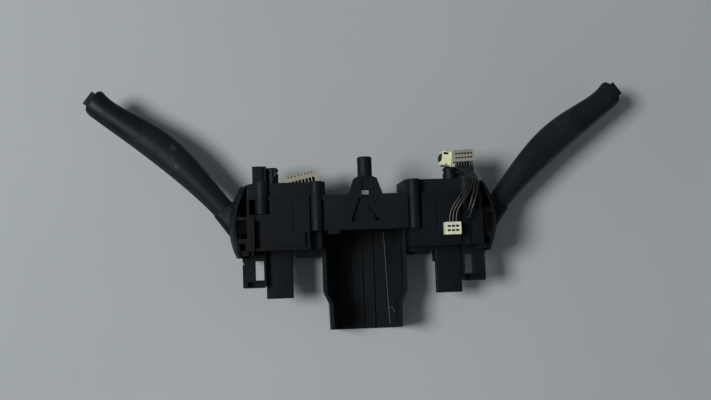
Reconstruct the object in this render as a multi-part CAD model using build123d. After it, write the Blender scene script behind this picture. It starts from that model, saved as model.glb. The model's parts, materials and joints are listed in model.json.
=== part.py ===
"""Combination stalk switch of a steering column.

Frame: X across the column, Y along the column toward the driver, Z up when the part lies on its back.
The origin is on the column axis, in the plane of the front seat.
Everything in pairs is built for the +X side and mirrored for the -X side.
"""
from build123d import *
import math
import os

# ---------------------------------------------------------------- driving dimensions, mm
# column passage and carrier
COLUMN_BORE_R = 22.0
COLLAR_WALL = 3.0
COLLAR_LENGTH = 17.0
UNDERSIDE_Z = -27.2
BRIDGE_HALF_WIDTH = 30.0
BRIDGE_DEPTH = 25.0
BRIDGE_TOP_Z = 31.0
BRIDGE_THICKNESS = 2.6
BRIDGE_SKIRT_Z = 23.6
BRIDGE_SIDE_Z = 20.0
BRIDGE_RIB_X = (-18.0, 0.0, 18.0)
BRIDGE_RIB = 1.8
ARROW_DEPTH = 2.0
ARROW_Y = (-1.5, -17.2)
ARROW_HALF = (4.0, 10.2)
ISLAND_TIP = (0.6, -9.4)
ISLAND_BASE = (8.2, -18.0)
TAB_X = (-27.4, -19.2)
TAB_Z = (23.0, 30.0)
TAB_REACH = 2.6
FRONT_WALL = 3.0
FLANGE_TOP_Z = 24.0
FLANGE_DEPTH = 10.0
FLANGE_INNER_X = 28.6
FLANGE_OUTER_X = 84.5
FLANGE_BOTTOM_Z = -20.0
FLAP_OUTER_X = 88.0
FLAP_THICKNESS = 1.6
TOWER_X = 34.8
TOWER_Z = 27.0
TOWER_R = 4.7
TOWER_PILOT_R = 1.7
TOWER_PILOT_DEPTH = 9.0
TOWER_LOW_Z = -14.0
BOSS_X = 73.7
BOSS_Z = 23.0
BOSS_R = 5.2
BOSS_LENGTH = 12.0

# locating post on the bridge
POST_R = 5.2
POST_Z = 27.8
POST_TIP_Y = 26.6
POST_ROOT_Y = 12.6
POST_FOOT_HALF = 11.9
POST_NECK_HALF = 8.2
POST_FOOT_Z = (22.5, 31.0)
POST_SLOT_HALF = 2.9
POST_SLOT_Y = (-1.4, 3.2)
POST_CHANNEL_DEPTH = 1.2

# column saddle
SADDLE_TONGUE_HALF = 15.0
SADDLE_TONGUE = 2.2
SADDLE_SCREW = (10.5, -10.0)
SADDLE_END_Y = -100.0
SADDLE_RIM_END_Y = -97.0
SADDLE_HALF_WIDTH = 31.0
SADDLE_NECK_HALF = 26.8
SADDLE_KNEE_Y = (-70.0, -79.0)
SADDLE_FLOOR_HALF = 17.2
SADDLE_WALL = 2.6
SADDLE_TOP_Z = 5.0
SADDLE_BEND_Z = -9.0
SADDLE_RIB_PITCH = 8.65
SADDLE_RIB_WIDTH = 0.9
SADDLE_RIB_HEIGHT = 1.1
SADDLE_EDGE_RIB = 1.4
SADDLE_EDGE_RIB_HEIGHT = 1.8
SADDLE_TAPER = 0.6

# switch cases
CASE_INNER_X = 31.8
CASE_STEP_X = 40.2
CASE_STEP_Z = 21.6
CASE_OUTER_X = 84.5
CASE_BACK_Y = -38.0
CASE_WALL = 1.8
CASE_RIM_Z = 26.0
COVER_PLATE = 2.0
PANEL_RISE = 2.0
PANEL_OUTER_X = 67.8
LEDGE_OUTER_X = 74.6
STRIP_INNER_X = 79.3
SLOT_FLOOR = 0.8
PANEL_BACK_Y = -36.1
WINDOW_HALF = 13.6
BOX_LEG_X = (53.0, 72.6)
BOX_LEG_END_Y = -73.1
BOX_LEG_Z = (-25.0, 3.0)
BOX_LEG_WALL = 1.7
FRAME_LEG_X = (72.6, 89.4)
FRAME_LEG_END_Y = -64.7
FRAME_LEG_Z = (-22.0, 8.0)
FRAME_WINDOW_X = (74.0, 80.2)
FRAME_WINDOW_Y = (-59.3, -45.3)
SHELF_X = (31.8, 52.6)
SHELF_END_Y = -44.3
SHELF_Z = (-6.0, 2.0)

# lever pivots, relative motion and the ball-shaped shields
PIVOT_X = 45.5
PIVOT_Y = -20.0
PIVOT_Z = 2.0
SHIELD_R = 53.3
SHIELD_WALL = 1.8
SHIELD_Y = (-23.0, 29.0)
SHIELD_HALF_Z = 20.5
SHIELD_CORNER_R = 9.0
# the bell that carries the stalk on the shield: width, height and corner radius
BELL_FOOT = (34.0, 27.0, 9.0)
BELL_NECK = (17.6, 15.2, 5.5)
BELL_STATION = 5.0
GUIDE_GAP = 0.5
SWEEP_BACK_Y = -47.5
SWEEP_START_X = 76.0
# plates and ribs between the case and the shield
GUIDE_PLATE = 2.2
GUIDE_RIB_Y = (-15.6, -31.2)
GUIDE_BACK_Y = -41.2
GUIDE_ROOF_Z = (19.0, 22.5)
GUIDE_FLOOR_Z = 21.6
GUIDE_WALL_HALF_Z = 19.0

# gimbal yoke
YOKE_HALF_X = 5.0
YOKE_HALF_Y = 13.0
YOKE_HALF_Z = 16.5
YOKE_WINDOW_Y = 8.7
YOKE_WINDOW_Z = 12.8
TRUNNION_R = 2.5
TURN_PIN_R = 2.5
BEARING_WALL = 1.35
RUNNING_FIT = 0.08
FACE_GAP = 0.3

# lever
HUB_HALF_Y = 8.3
HUB_HALF_Z = 7.0
HUB_BACK = 7.0
ARM_HALF_Y = 5.5
ARM_HALF_Z = 6.0
DETENT_X = 16.0
PLUNGER_R = 2.3
PLUNGER_REACH = 14.0
PLUNGER_LENGTH = 8.0
PLUNGER_BOSS_R = 3.9
PLUNGER_BOSS_END = 10.4
PLUNGER_BORE_START = -3.0
GATE_X = (12.0, 19.4)
GATE_FRONT = 13.2
GATE_HALF_Z = 7.0
GATE_CREST_GAP = 0.35
GATE_NOTCH_R = 0.8
GATE_NOTCH_PITCH = 2.6
SPRING_WIRE_R = 0.3
SPRING_R = 1.7
SPRING_TURNS = 4

# contact sliders
TURN_PEG_X = 16.0
TURN_PEG_R = 1.8
TURN_PEG_END = -11.6
TURN_SLIDER_X = (10.5, 21.5)
TURN_SLIDER_FRONT = -9.2
TURN_SLIDER_HALF_Z = 8.0
RAIL_WIDTH = 1.5
PULL_PEG_X = 13.5
PULL_PEG_R = 1.6
PULL_SLIDER_X = (9.0, 19.5)
PULL_SLIDER_HALF_Y = 6.5
PULL_SLIDER_HEIGHT = 4.6
BOARD_THICKNESS = 1.2
CONTACT_STRIP = (1.4, 0.6, 26.0)

# stalks: the centre line is an arc and then a straight run
STALK_ROOT = (98.6, -9.8)
STALK_ROOT_ANGLE = 52.5
STALK_TIP_ANGLE = 36.6
STALK_BEND_R = 290.0
STALK_STRAIGHT = 50.5
STALK_WALL = 2.0
STALK_ROOT_IN = -9.0
# station along the centre line, width, height, shift across toward the driver
STALK_STATIONS = [
    (16.0, 16.8, 14.6, -1.3), (34.0, 19.4, 15.4, -1.1), (55.0, 22.4, 15.8, -0.4), (83.0, 22.6, 15.6, 0.0),
]
STALK_ROOT_SIZE = (15.6, 13.8, -1.2)
STALK_END_SIZE = (20.8, 14.0, 0.2)
STALK_END_ROUND = 2.8
STALK_CORNER_R = 5.0
INLAY_LENGTH = 45.0
INLAY_HALF_WIDTH = 7.4
INLAY_OFFSET = 0.2
INLAY_DEPTH = 1.1
INLAY_GAP = 0.25
BUTTON_WIDTH = 11.0
BUTTON_HEIGHT = 7.6
BUTTON_OFFSET = -0.4
BUTTON_PROUD = 3.2
BUTTON_TRAVEL = 1.5
BUTTON_GAP = 0.2
BUTTON_STEM = 9.0
BUTTON_STEM_SIDE = 4.0
SWITCH_WIDTH = 6.0
SWITCH_LENGTH = 7.0
SWITCH_V = (-3.6, 2.6)

# screws
SCREW_SHANK_R = 1.9
SCREW_HEAD_R = 3.6
SADDLE_SCREW_R = 1.3
SADDLE_SCREW_DEPTH = 4.6
SADDLE_SCREW_HEAD_R = 2.7

# plugs on the front flange
TRAY_FLOOR_Y = 3.0
BOSS_PROUD = 1.2
PLUG_PAD_X = (58.0, 82.0)
PLUG_X = (70.5, 80.5)
PLUG_Z = (3.0, 17.0)
PLUG_END_LEFT = 23.0
PLUG_END_RIGHT = 22.3
PLUG_LIP = 2.6
PLUG_GROOVE = (3.0, 0.8, 0.4)
BARREL_Z = 10.0
BARREL_NECK = 0.8
BARREL_NECK_AT = (4.4, 1.5)
# across, radius and front end of the coupling on each side
BARREL_RIGHT = (65.0, 5.3, 19.5)
BARREL_LEFT = (66.0, 4.2, 22.2)

# connectors and leads
LEAD_R = 0.65
PIN_SIDE = 0.64
HEADER_X = (56.0, 69.6)
HEADER_Z = (-20.0, -11.0)
HEADER_ROWS_Z = (-17.0, -14.0)
HEADER_WAYS = 5
PIN_PITCH = 2.54
WHITE_SIZE = (11.4, 8.8, 7.4)
WHITE_AT = (60.7, -26.4)
WHITE_PITCH = (2.96, 3.0)
GREY_SIZE = (15.0, 8.6, 12.0)
GREY_AT = (74.1, 27.1)
GREY_BASE_Z = 8.0
GREY_TURN = 2.2
GREY_PITCH = (2.2, 3.0)
CREAM_SIZE = (7.2, 10.4, 12.0)
CREAM_AT = (62.0, 25.6)
CREAM_BASE_Z = 5.0
CREAM_TURN = -8.0
TILTED_SIZE = (24.5, 11.4, 10.0)
TILTED_AT = (-45.0, 11.7)
TILTED_BASE_Z = 6.0
TILTED_TURN = 12.0
TILTED_PITCH = 2.5
HOLE_SIDE = 0.9
HOLE_DEPTH = 1.6


# ---------------------------------------------------------------- small helpers
def block(x, y, z):
    """A box from its low and high limits along each axis."""
    size = [abs(limits[1] - limits[0]) for limits in (x, y, z)]
    middle = [(limits[1] + limits[0]) / 2 for limits in (x, y, z)]
    return Pos(*middle) * Box(*size)


def soft_block(x, y, z, radius, axis=Axis.Z):
    """A box with its edges along one axis rounded."""
    plain = block(x, y, z)
    return fillet(plain.edges().filter_by(axis), radius)


def rod(start, direction, radius, length):
    """A cylinder from a start point along a direction."""
    return Plane(origin=start, z_dir=direction) * Cylinder(
        radius, length, align=(Align.CENTER, Align.CENTER, Align.MIN))


def prism(points, low, high):
    """An upright prism over a plan outline."""
    outline = make_face(Polyline(*points, close=True))
    return Pos(0, 0, low) * extrude(outline, high - low)


def section_prism(points, y_low, y_high):
    """A prism along Y over an outline given as (x, z)."""
    plane = Plane(origin=(0, y_high, 0), x_dir=(1, 0, 0), z_dir=(0, -1, 0))
    outline = make_face(Polyline(*points, close=True))
    return plane * extrude(outline, y_high - y_low)


def side_prism(points, x_low, x_high):
    """A prism along X over an outline given as (y, z)."""
    plane = Plane(origin=(x_low, 0, 0), x_dir=(0, 1, 0), z_dir=(1, 0, 0))
    outline = make_face(Polyline(*points, close=True))
    return plane * extrude(outline, x_high - x_low)


def left(shape):
    """The mirrored twin on the -X side."""
    solids = shape.solids()
    if len(solids) > 1:
        return group([mirror(solid, about=Plane.YZ) for solid in solids])
    return mirror(shape, about=Plane.YZ)


def group(shapes):
    """Separate solids kept together as one node."""
    return Compound([solid for shape in shapes for solid in shape.solids()])


def from_pivot(x, y, z):
    """Limits given about the lever's pivot, as a block in the part's frame."""
    return block([PIVOT_X + v for v in x], [PIVOT_Y + v for v in y], [PIVOT_Z + v for v in z])


# ---------------------------------------------------------------- carrier
def post():
    """Round locating post on its flared foot, with a slot down through the foot."""
    half = POST_FOOT_HALF
    flare_end = POST_ROOT_Y - 1.4
    foot_side = [(half, -FRONT_WALL), (half, 0.6), (POST_NECK_HALF, flare_end), (POST_R, POST_ROOT_Y)]
    other_side = [(-x, y) for x, y in reversed(foot_side)]
    foot = prism(foot_side + other_side, *POST_FOOT_Z)
    shaft = rod((0, POST_ROOT_Y, POST_Z), (0, 1, 0), POST_R, POST_TIP_Y - POST_ROOT_Y)
    shaft = chamfer(shaft.edges().sort_by(Axis.Y)[-1], 0.7)
    channel = block((-POST_SLOT_HALF, POST_SLOT_HALF), (POST_SLOT_Y[1] - 1, POST_ROOT_Y - 2.0),
                    (POST_FOOT_Z[1] - POST_CHANNEL_DEPTH, POST_FOOT_Z[1] + 1))
    return foot + shaft - channel


def post_slot():
    """The slot at the post's foot, open above."""
    return block((-POST_SLOT_HALF, POST_SLOT_HALF), POST_SLOT_Y, (POST_FOOT_Z[0], POST_FOOT_Z[1] + 2))


def bridge():
    """Box-shaped bridge over the column, open below, with the arrow-shaped recess in its roof."""
    half = BRIDGE_HALF_WIDTH
    outer = block((-half, half), (-BRIDGE_DEPTH, 0), (BRIDGE_SIDE_Z, BRIDGE_TOP_Z))
    hollow_half = half - BRIDGE_THICKNESS
    roof = BRIDGE_TOP_Z - BRIDGE_THICKNESS
    hollow = block((-hollow_half, hollow_half), (-BRIDGE_DEPTH + BRIDGE_THICKNESS, -FRONT_WALL), (0, roof))
    way = block((-hollow_half, hollow_half), (-BRIDGE_DEPTH - 1, -FRONT_WALL), (0, BRIDGE_SKIRT_Z))
    (tip, base), (tip_y, base_y) = ARROW_HALF, ARROW_Y
    recess = (BRIDGE_TOP_Z - ARROW_DEPTH, BRIDGE_TOP_Z + 1)
    arrow = prism([(-tip, tip_y), (tip, tip_y), (base, base_y), (-base, base_y)], *recess)
    island = prism([ISLAND_TIP, ISLAND_BASE, (-ISLAND_BASE[0], ISLAND_BASE[1])], recess[0], BRIDGE_TOP_Z)
    tab = block(TAB_X, (-BRIDGE_DEPTH - TAB_REACH, -BRIDGE_DEPTH + BRIDGE_THICKNESS), TAB_Z)
    rib_y = (-BRIDGE_DEPTH, -FRONT_WALL)
    rib_z = (BRIDGE_SKIRT_Z, roof + 1)
    ribs = [block((x - BRIDGE_RIB / 2, x + BRIDGE_RIB / 2), rib_y, rib_z) for x in BRIDGE_RIB_X]
    return outer - hollow - way + ribs + tab - (arrow - island)


def towers():
    """Four screw towers for the slip ring's screws; the upper two run back to the bridge's end."""
    shafts = []
    length = BRIDGE_DEPTH + FLANGE_DEPTH
    for side in (1, -1):
        shafts.append(rod((side * TOWER_X, -BRIDGE_DEPTH, TOWER_Z), (0, 1, 0), TOWER_R, length))
        shafts.append(rod((side * TOWER_X, 0, TOWER_LOW_Z), (0, 1, 0), TOWER_R, FLANGE_DEPTH))
    return shafts


def tower_pilots():
    start = FLANGE_DEPTH - TOWER_PILOT_DEPTH
    return [rod((side * TOWER_X, start, z), (0, 1, 0), TOWER_PILOT_R, TOWER_PILOT_DEPTH + 1)
            for side in (1, -1) for z in (TOWER_Z, TOWER_LOW_Z)]


def side_flange():
    """Front flange of the +X side: a shallow tray, the bosses over the case screws and a thin flap."""
    inner_x = FLANGE_INNER_X
    outer = block((inner_x, FLANGE_OUTER_X), (0, FLANGE_DEPTH), (FLANGE_BOTTOM_Z, FLANGE_TOP_Z))
    outer = fillet(outer.edges().filter_by(Axis.Y), 1.5)
    tray = block((TOWER_X + TOWER_R + 1.5, PLUG_PAD_X[0]), (TRAY_FLOOR_Y, FLANGE_DEPTH + 1),
                 (FLANGE_BOTTOM_Z + 2.5, FLANGE_TOP_Z - 2.0))
    throat = block((inner_x + 1.6, PLUG_PAD_X[0]), (TRAY_FLOOR_Y, FLANGE_DEPTH + 1), (-8.0, 20.0))
    low_tray = block((PLUG_PAD_X[0] + 1.6, FLANGE_OUTER_X - 1.8), (TRAY_FLOOR_Y, FLANGE_DEPTH + 1),
                     (FLANGE_BOTTOM_Z + 2.5, PLUG_Z[0] - 2.0))
    flap = block((FLANGE_OUTER_X - 1, FLAP_OUTER_X), (FLANGE_DEPTH - FLAP_THICKNESS, FLANGE_DEPTH),
                 (FLANGE_BOTTOM_Z, FLANGE_TOP_Z))
    boss = rod((BOSS_X, 0, BOSS_Z), (0, 1, 0), BOSS_R, FLANGE_DEPTH + BOSS_PROUD)
    return outer - tray - throat - low_tray + flap + boss - outside_ball()


def outside_ball():
    """Everything beyond the guide ball near the shield, up to where its back edge sweeps."""
    ball = Pos(PIVOT_X, PIVOT_Y, PIVOT_Z) * Sphere(SHIELD_R - SHIELD_WALL - GUIDE_GAP)
    return block((SWEEP_START_X, SWEEP_START_X + 60), (SWEEP_BACK_Y, FLANGE_DEPTH + 40), (-60, 60)) - ball


def case_screw_cut(depth_start, radius, length):
    """Screw passage through the flange, from the front."""
    return rod((BOSS_X, depth_start, BOSS_Z), (0, 1, 0), radius, length)


def carrier_housing():
    wall_half = CASE_INNER_X - 0.2
    front_wall = block((-wall_half, wall_half), (-FRONT_WALL, 0), (UNDERSIDE_Z, BRIDGE_TOP_Z - 1))
    collar_r = COLUMN_BORE_R + COLLAR_WALL
    front_wall = front_wall + rod((0, -COLLAR_LENGTH, 0), (0, 1, 0), collar_r, COLLAR_LENGTH)
    tongue_top = UNDERSIDE_Z + SADDLE_TONGUE
    pad_z = (tongue_top, tongue_top + 6)
    pad = block((-SADDLE_TONGUE_HALF, SADDLE_TONGUE_HALF), (-COLLAR_LENGTH, 0), pad_z)
    tongue_room = block((-SADDLE_TONGUE_HALF, SADDLE_TONGUE_HALF), (-COLLAR_LENGTH - 1, -FRONT_WALL),
                        (UNDERSIDE_Z - 1, tongue_top))
    flange = side_flange()
    body = front_wall + pad - tongue_room + bridge() + post() + towers() + flange + left(flange)
    bore = rod((0, -COLLAR_LENGTH - 1, 0), (0, 1, 0), COLUMN_BORE_R, COLLAR_LENGTH + FLANGE_DEPTH + 2)
    body = body - bore - post_slot() - tower_pilots()
    for side in (1, -1):
        start = (side * SADDLE_SCREW[0], SADDLE_SCREW[1], tongue_top - 1)
        body = body - rod(start, (0, 0, 1), SADDLE_SCREW_R, SADDLE_SCREW_DEPTH)
    screw_way = case_screw_cut(0, SCREW_SHANK_R + 0.25, FLANGE_DEPTH + 2)
    screw_seat = case_screw_cut(FLANGE_DEPTH - 1.4, SCREW_HEAD_R + 0.3, 4)
    return body - screw_way - screw_seat - left(screw_way) - left(screw_seat)


# ---------------------------------------------------------------- saddle
def saddle_section(grow, top):
    """Faceted channel outline as (x, z); grow moves the walls outward from the inner face."""
    half = SADDLE_HALF_WIDTH - SADDLE_WALL + grow
    floor_half = SADDLE_FLOOR_HALF + grow * 0.6
    floor_z = UNDERSIDE_Z + SADDLE_WALL - grow
    return [(-half, top), (-half, SADDLE_BEND_Z), (-floor_half, floor_z), (floor_half, floor_z),
            (half, SADDLE_BEND_Z), (half, top)]


def saddle_plan(half, neck_half, y_front, y_end):
    """Plan outline of the saddle, narrower behind its knee."""
    knee, neck = SADDLE_KNEE_Y
    side = [(half, y_front), (half, knee), (neck_half, neck), (neck_half - SADDLE_TAPER, y_end)]
    return side + [(-x, y) for x, y in reversed(side)]


def column_saddle():
    """Faceted channel under the column, with ribs along its floor and a slanted rear end."""
    outer = section_prism(saddle_section(SADDLE_WALL, SADDLE_TOP_Z), SADDLE_END_Y, -COLLAR_LENGTH)
    inner = section_prism(saddle_section(0, SADDLE_TOP_Z + 5), SADDLE_END_Y - 1, -COLLAR_LENGTH + 1)
    plan = saddle_plan(SADDLE_HALF_WIDTH, SADDLE_NECK_HALF, -COLLAR_LENGTH, SADDLE_END_Y)
    wall_half = SADDLE_HALF_WIDTH - SADDLE_WALL
    neck_inner = SADDLE_NECK_HALF - SADDLE_WALL
    inner_plan = saddle_plan(wall_half, neck_inner, -COLLAR_LENGTH + 1, SADDLE_END_Y - 1)
    shell = outer & prism(plan, UNDERSIDE_Z - 1, SADDLE_TOP_Z + 1)
    shell = shell - (inner & prism(inner_plan, UNDERSIDE_Z - 1, SADDLE_TOP_Z + 6))
    floor_top = UNDERSIDE_Z + SADDLE_WALL
    ribs = []
    rib_half = SADDLE_RIB_WIDTH / 2
    for x in (-SADDLE_RIB_PITCH, 0, SADDLE_RIB_PITCH):
        ribs.append(block((x - rib_half, x + rib_half), (SADDLE_END_Y, -COLLAR_LENGTH),
                          (floor_top - 0.2, floor_top + SADDLE_RIB_HEIGHT)))
    edge_half = SADDLE_EDGE_RIB / 2
    edge_y = (SADDLE_KNEE_Y[1] - 4.5, -COLLAR_LENGTH)
    for x in (-SADDLE_FLOOR_HALF, SADDLE_FLOOR_HALF):
        ribs.append(block((x - edge_half, x + edge_half), edge_y,
                          (floor_top - 0.2, floor_top + SADDLE_EDGE_RIB_HEIGHT)))
    tongue = block((-SADDLE_TONGUE_HALF, SADDLE_TONGUE_HALF), (-COLLAR_LENGTH - 1, -FRONT_WALL),
                   (UNDERSIDE_Z, UNDERSIDE_Z + SADDLE_TONGUE))
    beyond_end = side_prism([(SADDLE_END_Y - 1, UNDERSIDE_Z), (SADDLE_END_Y, UNDERSIDE_Z),
                             (SADDLE_RIM_END_Y, SADDLE_TOP_Z + 1), (SADDLE_END_Y - 1, SADDLE_TOP_Z + 1)],
                            -SADDLE_HALF_WIDTH - 1, SADDLE_HALF_WIDTH + 1)
    body = shell + ribs + tongue - beyond_end
    for side in (1, -1):
        body = body - countersunk_screw(side * SADDLE_SCREW[0], SADDLE_SCREW[1], UNDERSIDE_Z)
    return body


# ---------------------------------------------------------------- switch case
def bearing(low, high):
    """Ring round a trunnion of the yoke."""
    ring = rod((PIVOT_X, PIVOT_Y, low), (0, 0, 1), TRUNNION_R + BEARING_WALL, high - low)
    return ring


def trunnion_bore(low, high):
    return rod((PIVOT_X, PIVOT_Y, low), (0, 0, 1), TRUNNION_R + RUNNING_FIT, high - low)


def case_box():
    """Open-topped box with a step in its inner wall, which leaves room for the screw tower."""
    y = (CASE_BACK_Y, 0)
    outer = block((CASE_INNER_X, CASE_OUTER_X), y, (UNDERSIDE_Z, CASE_RIM_Z))
    step = block((CASE_INNER_X - 1, CASE_STEP_X), (CASE_BACK_Y - 1, 1), (CASE_STEP_Z, CASE_RIM_Z + 1))
    inner_y = (CASE_BACK_Y + CASE_WALL, -CASE_WALL)
    cavity_end = CASE_OUTER_X - CASE_WALL
    ceiling = CASE_STEP_Z - CASE_WALL
    lower = block((CASE_INNER_X + CASE_WALL, cavity_end), inner_y, (UNDERSIDE_Z + CASE_WALL, ceiling))
    upper = block((CASE_STEP_X + CASE_WALL, cavity_end), inner_y, (ceiling - 1, CASE_RIM_Z + 1))
    return outer - step - lower - upper


def box_leg():
    """Connector shroud that points away from the driver, open at its end."""
    z_low, z_high = BOX_LEG_Z
    outer = soft_block(BOX_LEG_X, (BOX_LEG_END_Y, CASE_BACK_Y), BOX_LEG_Z, 1.0, Axis.Y)
    cavity = block((BOX_LEG_X[0] + BOX_LEG_WALL, BOX_LEG_X[1] - BOX_LEG_WALL),
                   (BOX_LEG_END_Y - 1, CASE_BACK_Y), (z_low + BOX_LEG_WALL, z_high - BOX_LEG_WALL))
    return outer - cavity


def frame_leg():
    """Side leg with a window right through it."""
    outer = soft_block(FRAME_LEG_X, (FRAME_LEG_END_Y, CASE_BACK_Y), FRAME_LEG_Z, 1.2)
    window = block(FRAME_WINDOW_X, FRAME_WINDOW_Y, (FRAME_LEG_Z[0] - 1, FRAME_LEG_Z[1] + 1))
    groove_y = (FRAME_LEG_END_Y + 1.2, FRAME_WINDOW_Y[0] - 1.0)
    groove = block((FRAME_LEG_X[0] + 1.4, FRAME_LEG_X[1] - 3.4), groove_y,
                   (FRAME_LEG_Z[1] - 5, FRAME_LEG_Z[1] + 1))
    return outer - window - groove


def shelf():
    """Two thin lips between the saddle and the connector shroud."""
    low, high = SHELF_Z
    lips = [block(SHELF_X, (SHELF_END_Y + 2.4, CASE_BACK_Y), (high - 2.0, high)),
            block(SHELF_X, (SHELF_END_Y, CASE_BACK_Y), (low, low + 2.4))]
    web = block(SHELF_X, (SHELF_END_Y + 4.2, CASE_BACK_Y), (low, high))
    return lips[0] + lips[1] + web


def slider_rails():
    """Rails on the case's back wall and floor that guide the two contact sliders."""
    back = CASE_BACK_Y + CASE_WALL - PIVOT_Y
    rails = []
    for edge, side in ((TURN_SLIDER_X[0], -1), (TURN_SLIDER_X[1], 1)):
        near = edge + side * FACE_GAP
        rails.append(from_pivot((near, near + side * RAIL_WIDTH), (back, -12.3), (-14, 14)))
    floor = UNDERSIDE_Z + CASE_WALL - PIVOT_Z
    rail_top = floor + BOARD_THICKNESS + 3.0
    for edge, side in ((PULL_SLIDER_X[0], -1), (PULL_SLIDER_X[1], 1)):
        near = edge + side * FACE_GAP
        rails.append(from_pivot((near, near + side * RAIL_WIDTH), (-11, 11), (floor, rail_top)))
    return rails


def header_window():
    return block(HEADER_X, (CASE_BACK_Y - 1, CASE_BACK_Y + CASE_WALL + 1), HEADER_Z)


def case_boss():
    """Half-sunk boss that takes the screw from the carrier's flange."""
    return rod((BOSS_X, -BOSS_LENGTH, BOSS_Z), (0, 1, 0), BOSS_R, BOSS_LENGTH)


def guide_frame():
    """Frame outside the side wall that the shield sweeps over: plates and ribs inside its ball."""
    x = (CASE_OUTER_X - 0.5, SHIELD_R + PIVOT_X)
    front_rib, back_rib = GUIDE_RIB_Y
    back, front = GUIDE_BACK_Y, back_rib + GUIDE_PLATE
    wall_z = (-GUIDE_WALL_HALF_Z, GUIDE_WALL_HALF_Z)
    floor_z = (-GUIDE_FLOOR_Z, -GUIDE_FLOOR_Z + 2.0)
    frame = block((CASE_OUTER_X - 4, CASE_OUTER_X), (back, CASE_BACK_Y), (-20.0, 20.0))
    for plate in (block(x, (front_rib, front_rib + GUIDE_PLATE), GUIDE_ROOF_Z),
                  block(x, (back, front), GUIDE_ROOF_Z),
                  block(x, (back, back + GUIDE_PLATE), wall_z),
                  block(x, (front_rib, front_rib + GUIDE_PLATE), (-20.0, -16.0)),
                  block(x, (back, 0), floor_z)):
        frame = frame + plate
    window = block((CASE_OUTER_X + 1.6, CASE_OUTER_X + 5.8), (-37.6, -32.4), (10, 30))
    return frame - window


def switch_case():
    body = case_box() + box_leg() + frame_leg() + shelf() + guide_frame() + case_boss() - outside_ball()
    body = body + bearing(UNDERSIDE_Z + CASE_WALL - 0.5, PIVOT_Z - YOKE_HALF_Z - FACE_GAP)
    body = body + slider_rails()
    window = block((CASE_OUTER_X - CASE_WALL - 1, CASE_OUTER_X + 1),
                   (PIVOT_Y - WINDOW_HALF, PIVOT_Y + WINDOW_HALF),
                   (PIVOT_Z - WINDOW_HALF, PIVOT_Z + WINDOW_HALF))
    pilot = rod((BOSS_X, -BOSS_LENGTH + 1.5, BOSS_Z), (0, 1, 0), SCREW_SHANK_R, BOSS_LENGTH)
    bore = trunnion_bore(UNDERSIDE_Z + 1.0, PIVOT_Z)
    room_r = TRUNNION_R + BEARING_WALL + FACE_GAP
    bearing_room = rod((PIVOT_X, PIVOT_Y, PIVOT_Z + YOKE_HALF_Z), (0, 0, 1), room_r, 20)
    return body - window - header_window() - pilot - bore - bearing_room


def case_cover():
    """Lid with a raised panel and the upper bearing of the yoke."""
    rim_low, rim_high = CASE_RIM_Z, CASE_RIM_Z + COVER_PLATE
    plate = block((CASE_STEP_X, LEDGE_OUTER_X), (CASE_BACK_Y, 0), (rim_low, rim_high))
    strip = block((STRIP_INNER_X, CASE_OUTER_X), (CASE_BACK_Y, 0), (rim_low, rim_high))
    floor = block((LEDGE_OUTER_X - 1, CASE_OUTER_X), (CASE_BACK_Y, 0), (rim_low, rim_low + SLOT_FLOOR))
    panel = soft_block((CASE_STEP_X, PANEL_OUTER_X), (PANEL_BACK_Y, 0), (rim_low, rim_high + PANEL_RISE), 1.0)
    relief = block((50.0, 52.0), (-26, -6), (rim_high + PANEL_RISE - 0.6, rim_high + PANEL_RISE + 1))
    notch = block((CASE_STEP_X - 1, CASE_STEP_X + 3.6), (CASE_BACK_Y - 1, -26.0), (rim_high, rim_high + 5))
    around_boss = rod((BOSS_X, -BOSS_LENGTH - 0.4, BOSS_Z), (0, 1, 0), BOSS_R + 0.3, BOSS_LENGTH + 2)
    slot_y = (-BOSS_LENGTH - 0.4, 1)
    boss_slot = block((BOSS_X - BOSS_R - 0.4, CASE_OUTER_X + 1), slot_y, (BOSS_Z, rim_high + 5))
    ring = bearing(PIVOT_Z + YOKE_HALF_Z + FACE_GAP, rim_low + 0.5)
    body = plate + strip + floor + panel + ring - relief - notch - around_boss - boss_slot - outside_ball()
    return body - trunnion_bore(PIVOT_Z, rim_high - 0.4)


# ---------------------------------------------------------------- inside the case
def circuit_board():
    floor = UNDERSIDE_Z + CASE_WALL
    plain = block((CASE_INNER_X + CASE_WALL + 0.5, CASE_OUTER_X - CASE_WALL - 0.5),
                  (CASE_BACK_Y + CASE_WALL + 0.4, -CASE_WALL - 0.4), (floor, floor + BOARD_THICKNESS))
    ring_hole = rod((PIVOT_X, PIVOT_Y, floor - 1), (0, 0, 1), TRUNNION_R + BEARING_WALL + 0.4, 4)
    rail_room = FACE_GAP + RAIL_WIDTH + 0.4
    rail_hole = from_pivot((PULL_SLIDER_X[0] - rail_room, PULL_SLIDER_X[1] + rail_room),
                           (-11.4, 11.4), (floor - PIVOT_Z - 1, floor - PIVOT_Z + 3))
    track = from_pivot((PULL_SLIDER_X[0], PULL_SLIDER_X[1]), (-11.4, 11.4),
                       (floor - PIVOT_Z, floor - PIVOT_Z + BOARD_THICKNESS))
    return plain - ring_hole - rail_hole + track


def header_pins():
    """Ten square pins from the board to the connector shroud."""
    pins = []
    for column in range(HEADER_WAYS):
        x = sum(BOX_LEG_X) / 2 + (column - (HEADER_WAYS - 1) / 2) * PIN_PITCH
        for z in HEADER_ROWS_Z:
            pins.append(block((x - PIN_SIDE / 2, x + PIN_SIDE / 2), (CASE_BACK_Y - 12.0, CASE_BACK_Y + 4.0),
                              (z - PIN_SIDE / 2, z + PIN_SIDE / 2)))
    return group(pins)


def header_block():
    body = block(HEADER_X, (CASE_BACK_Y, CASE_BACK_Y + CASE_WALL), HEADER_Z)
    return body - header_pins()


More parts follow.
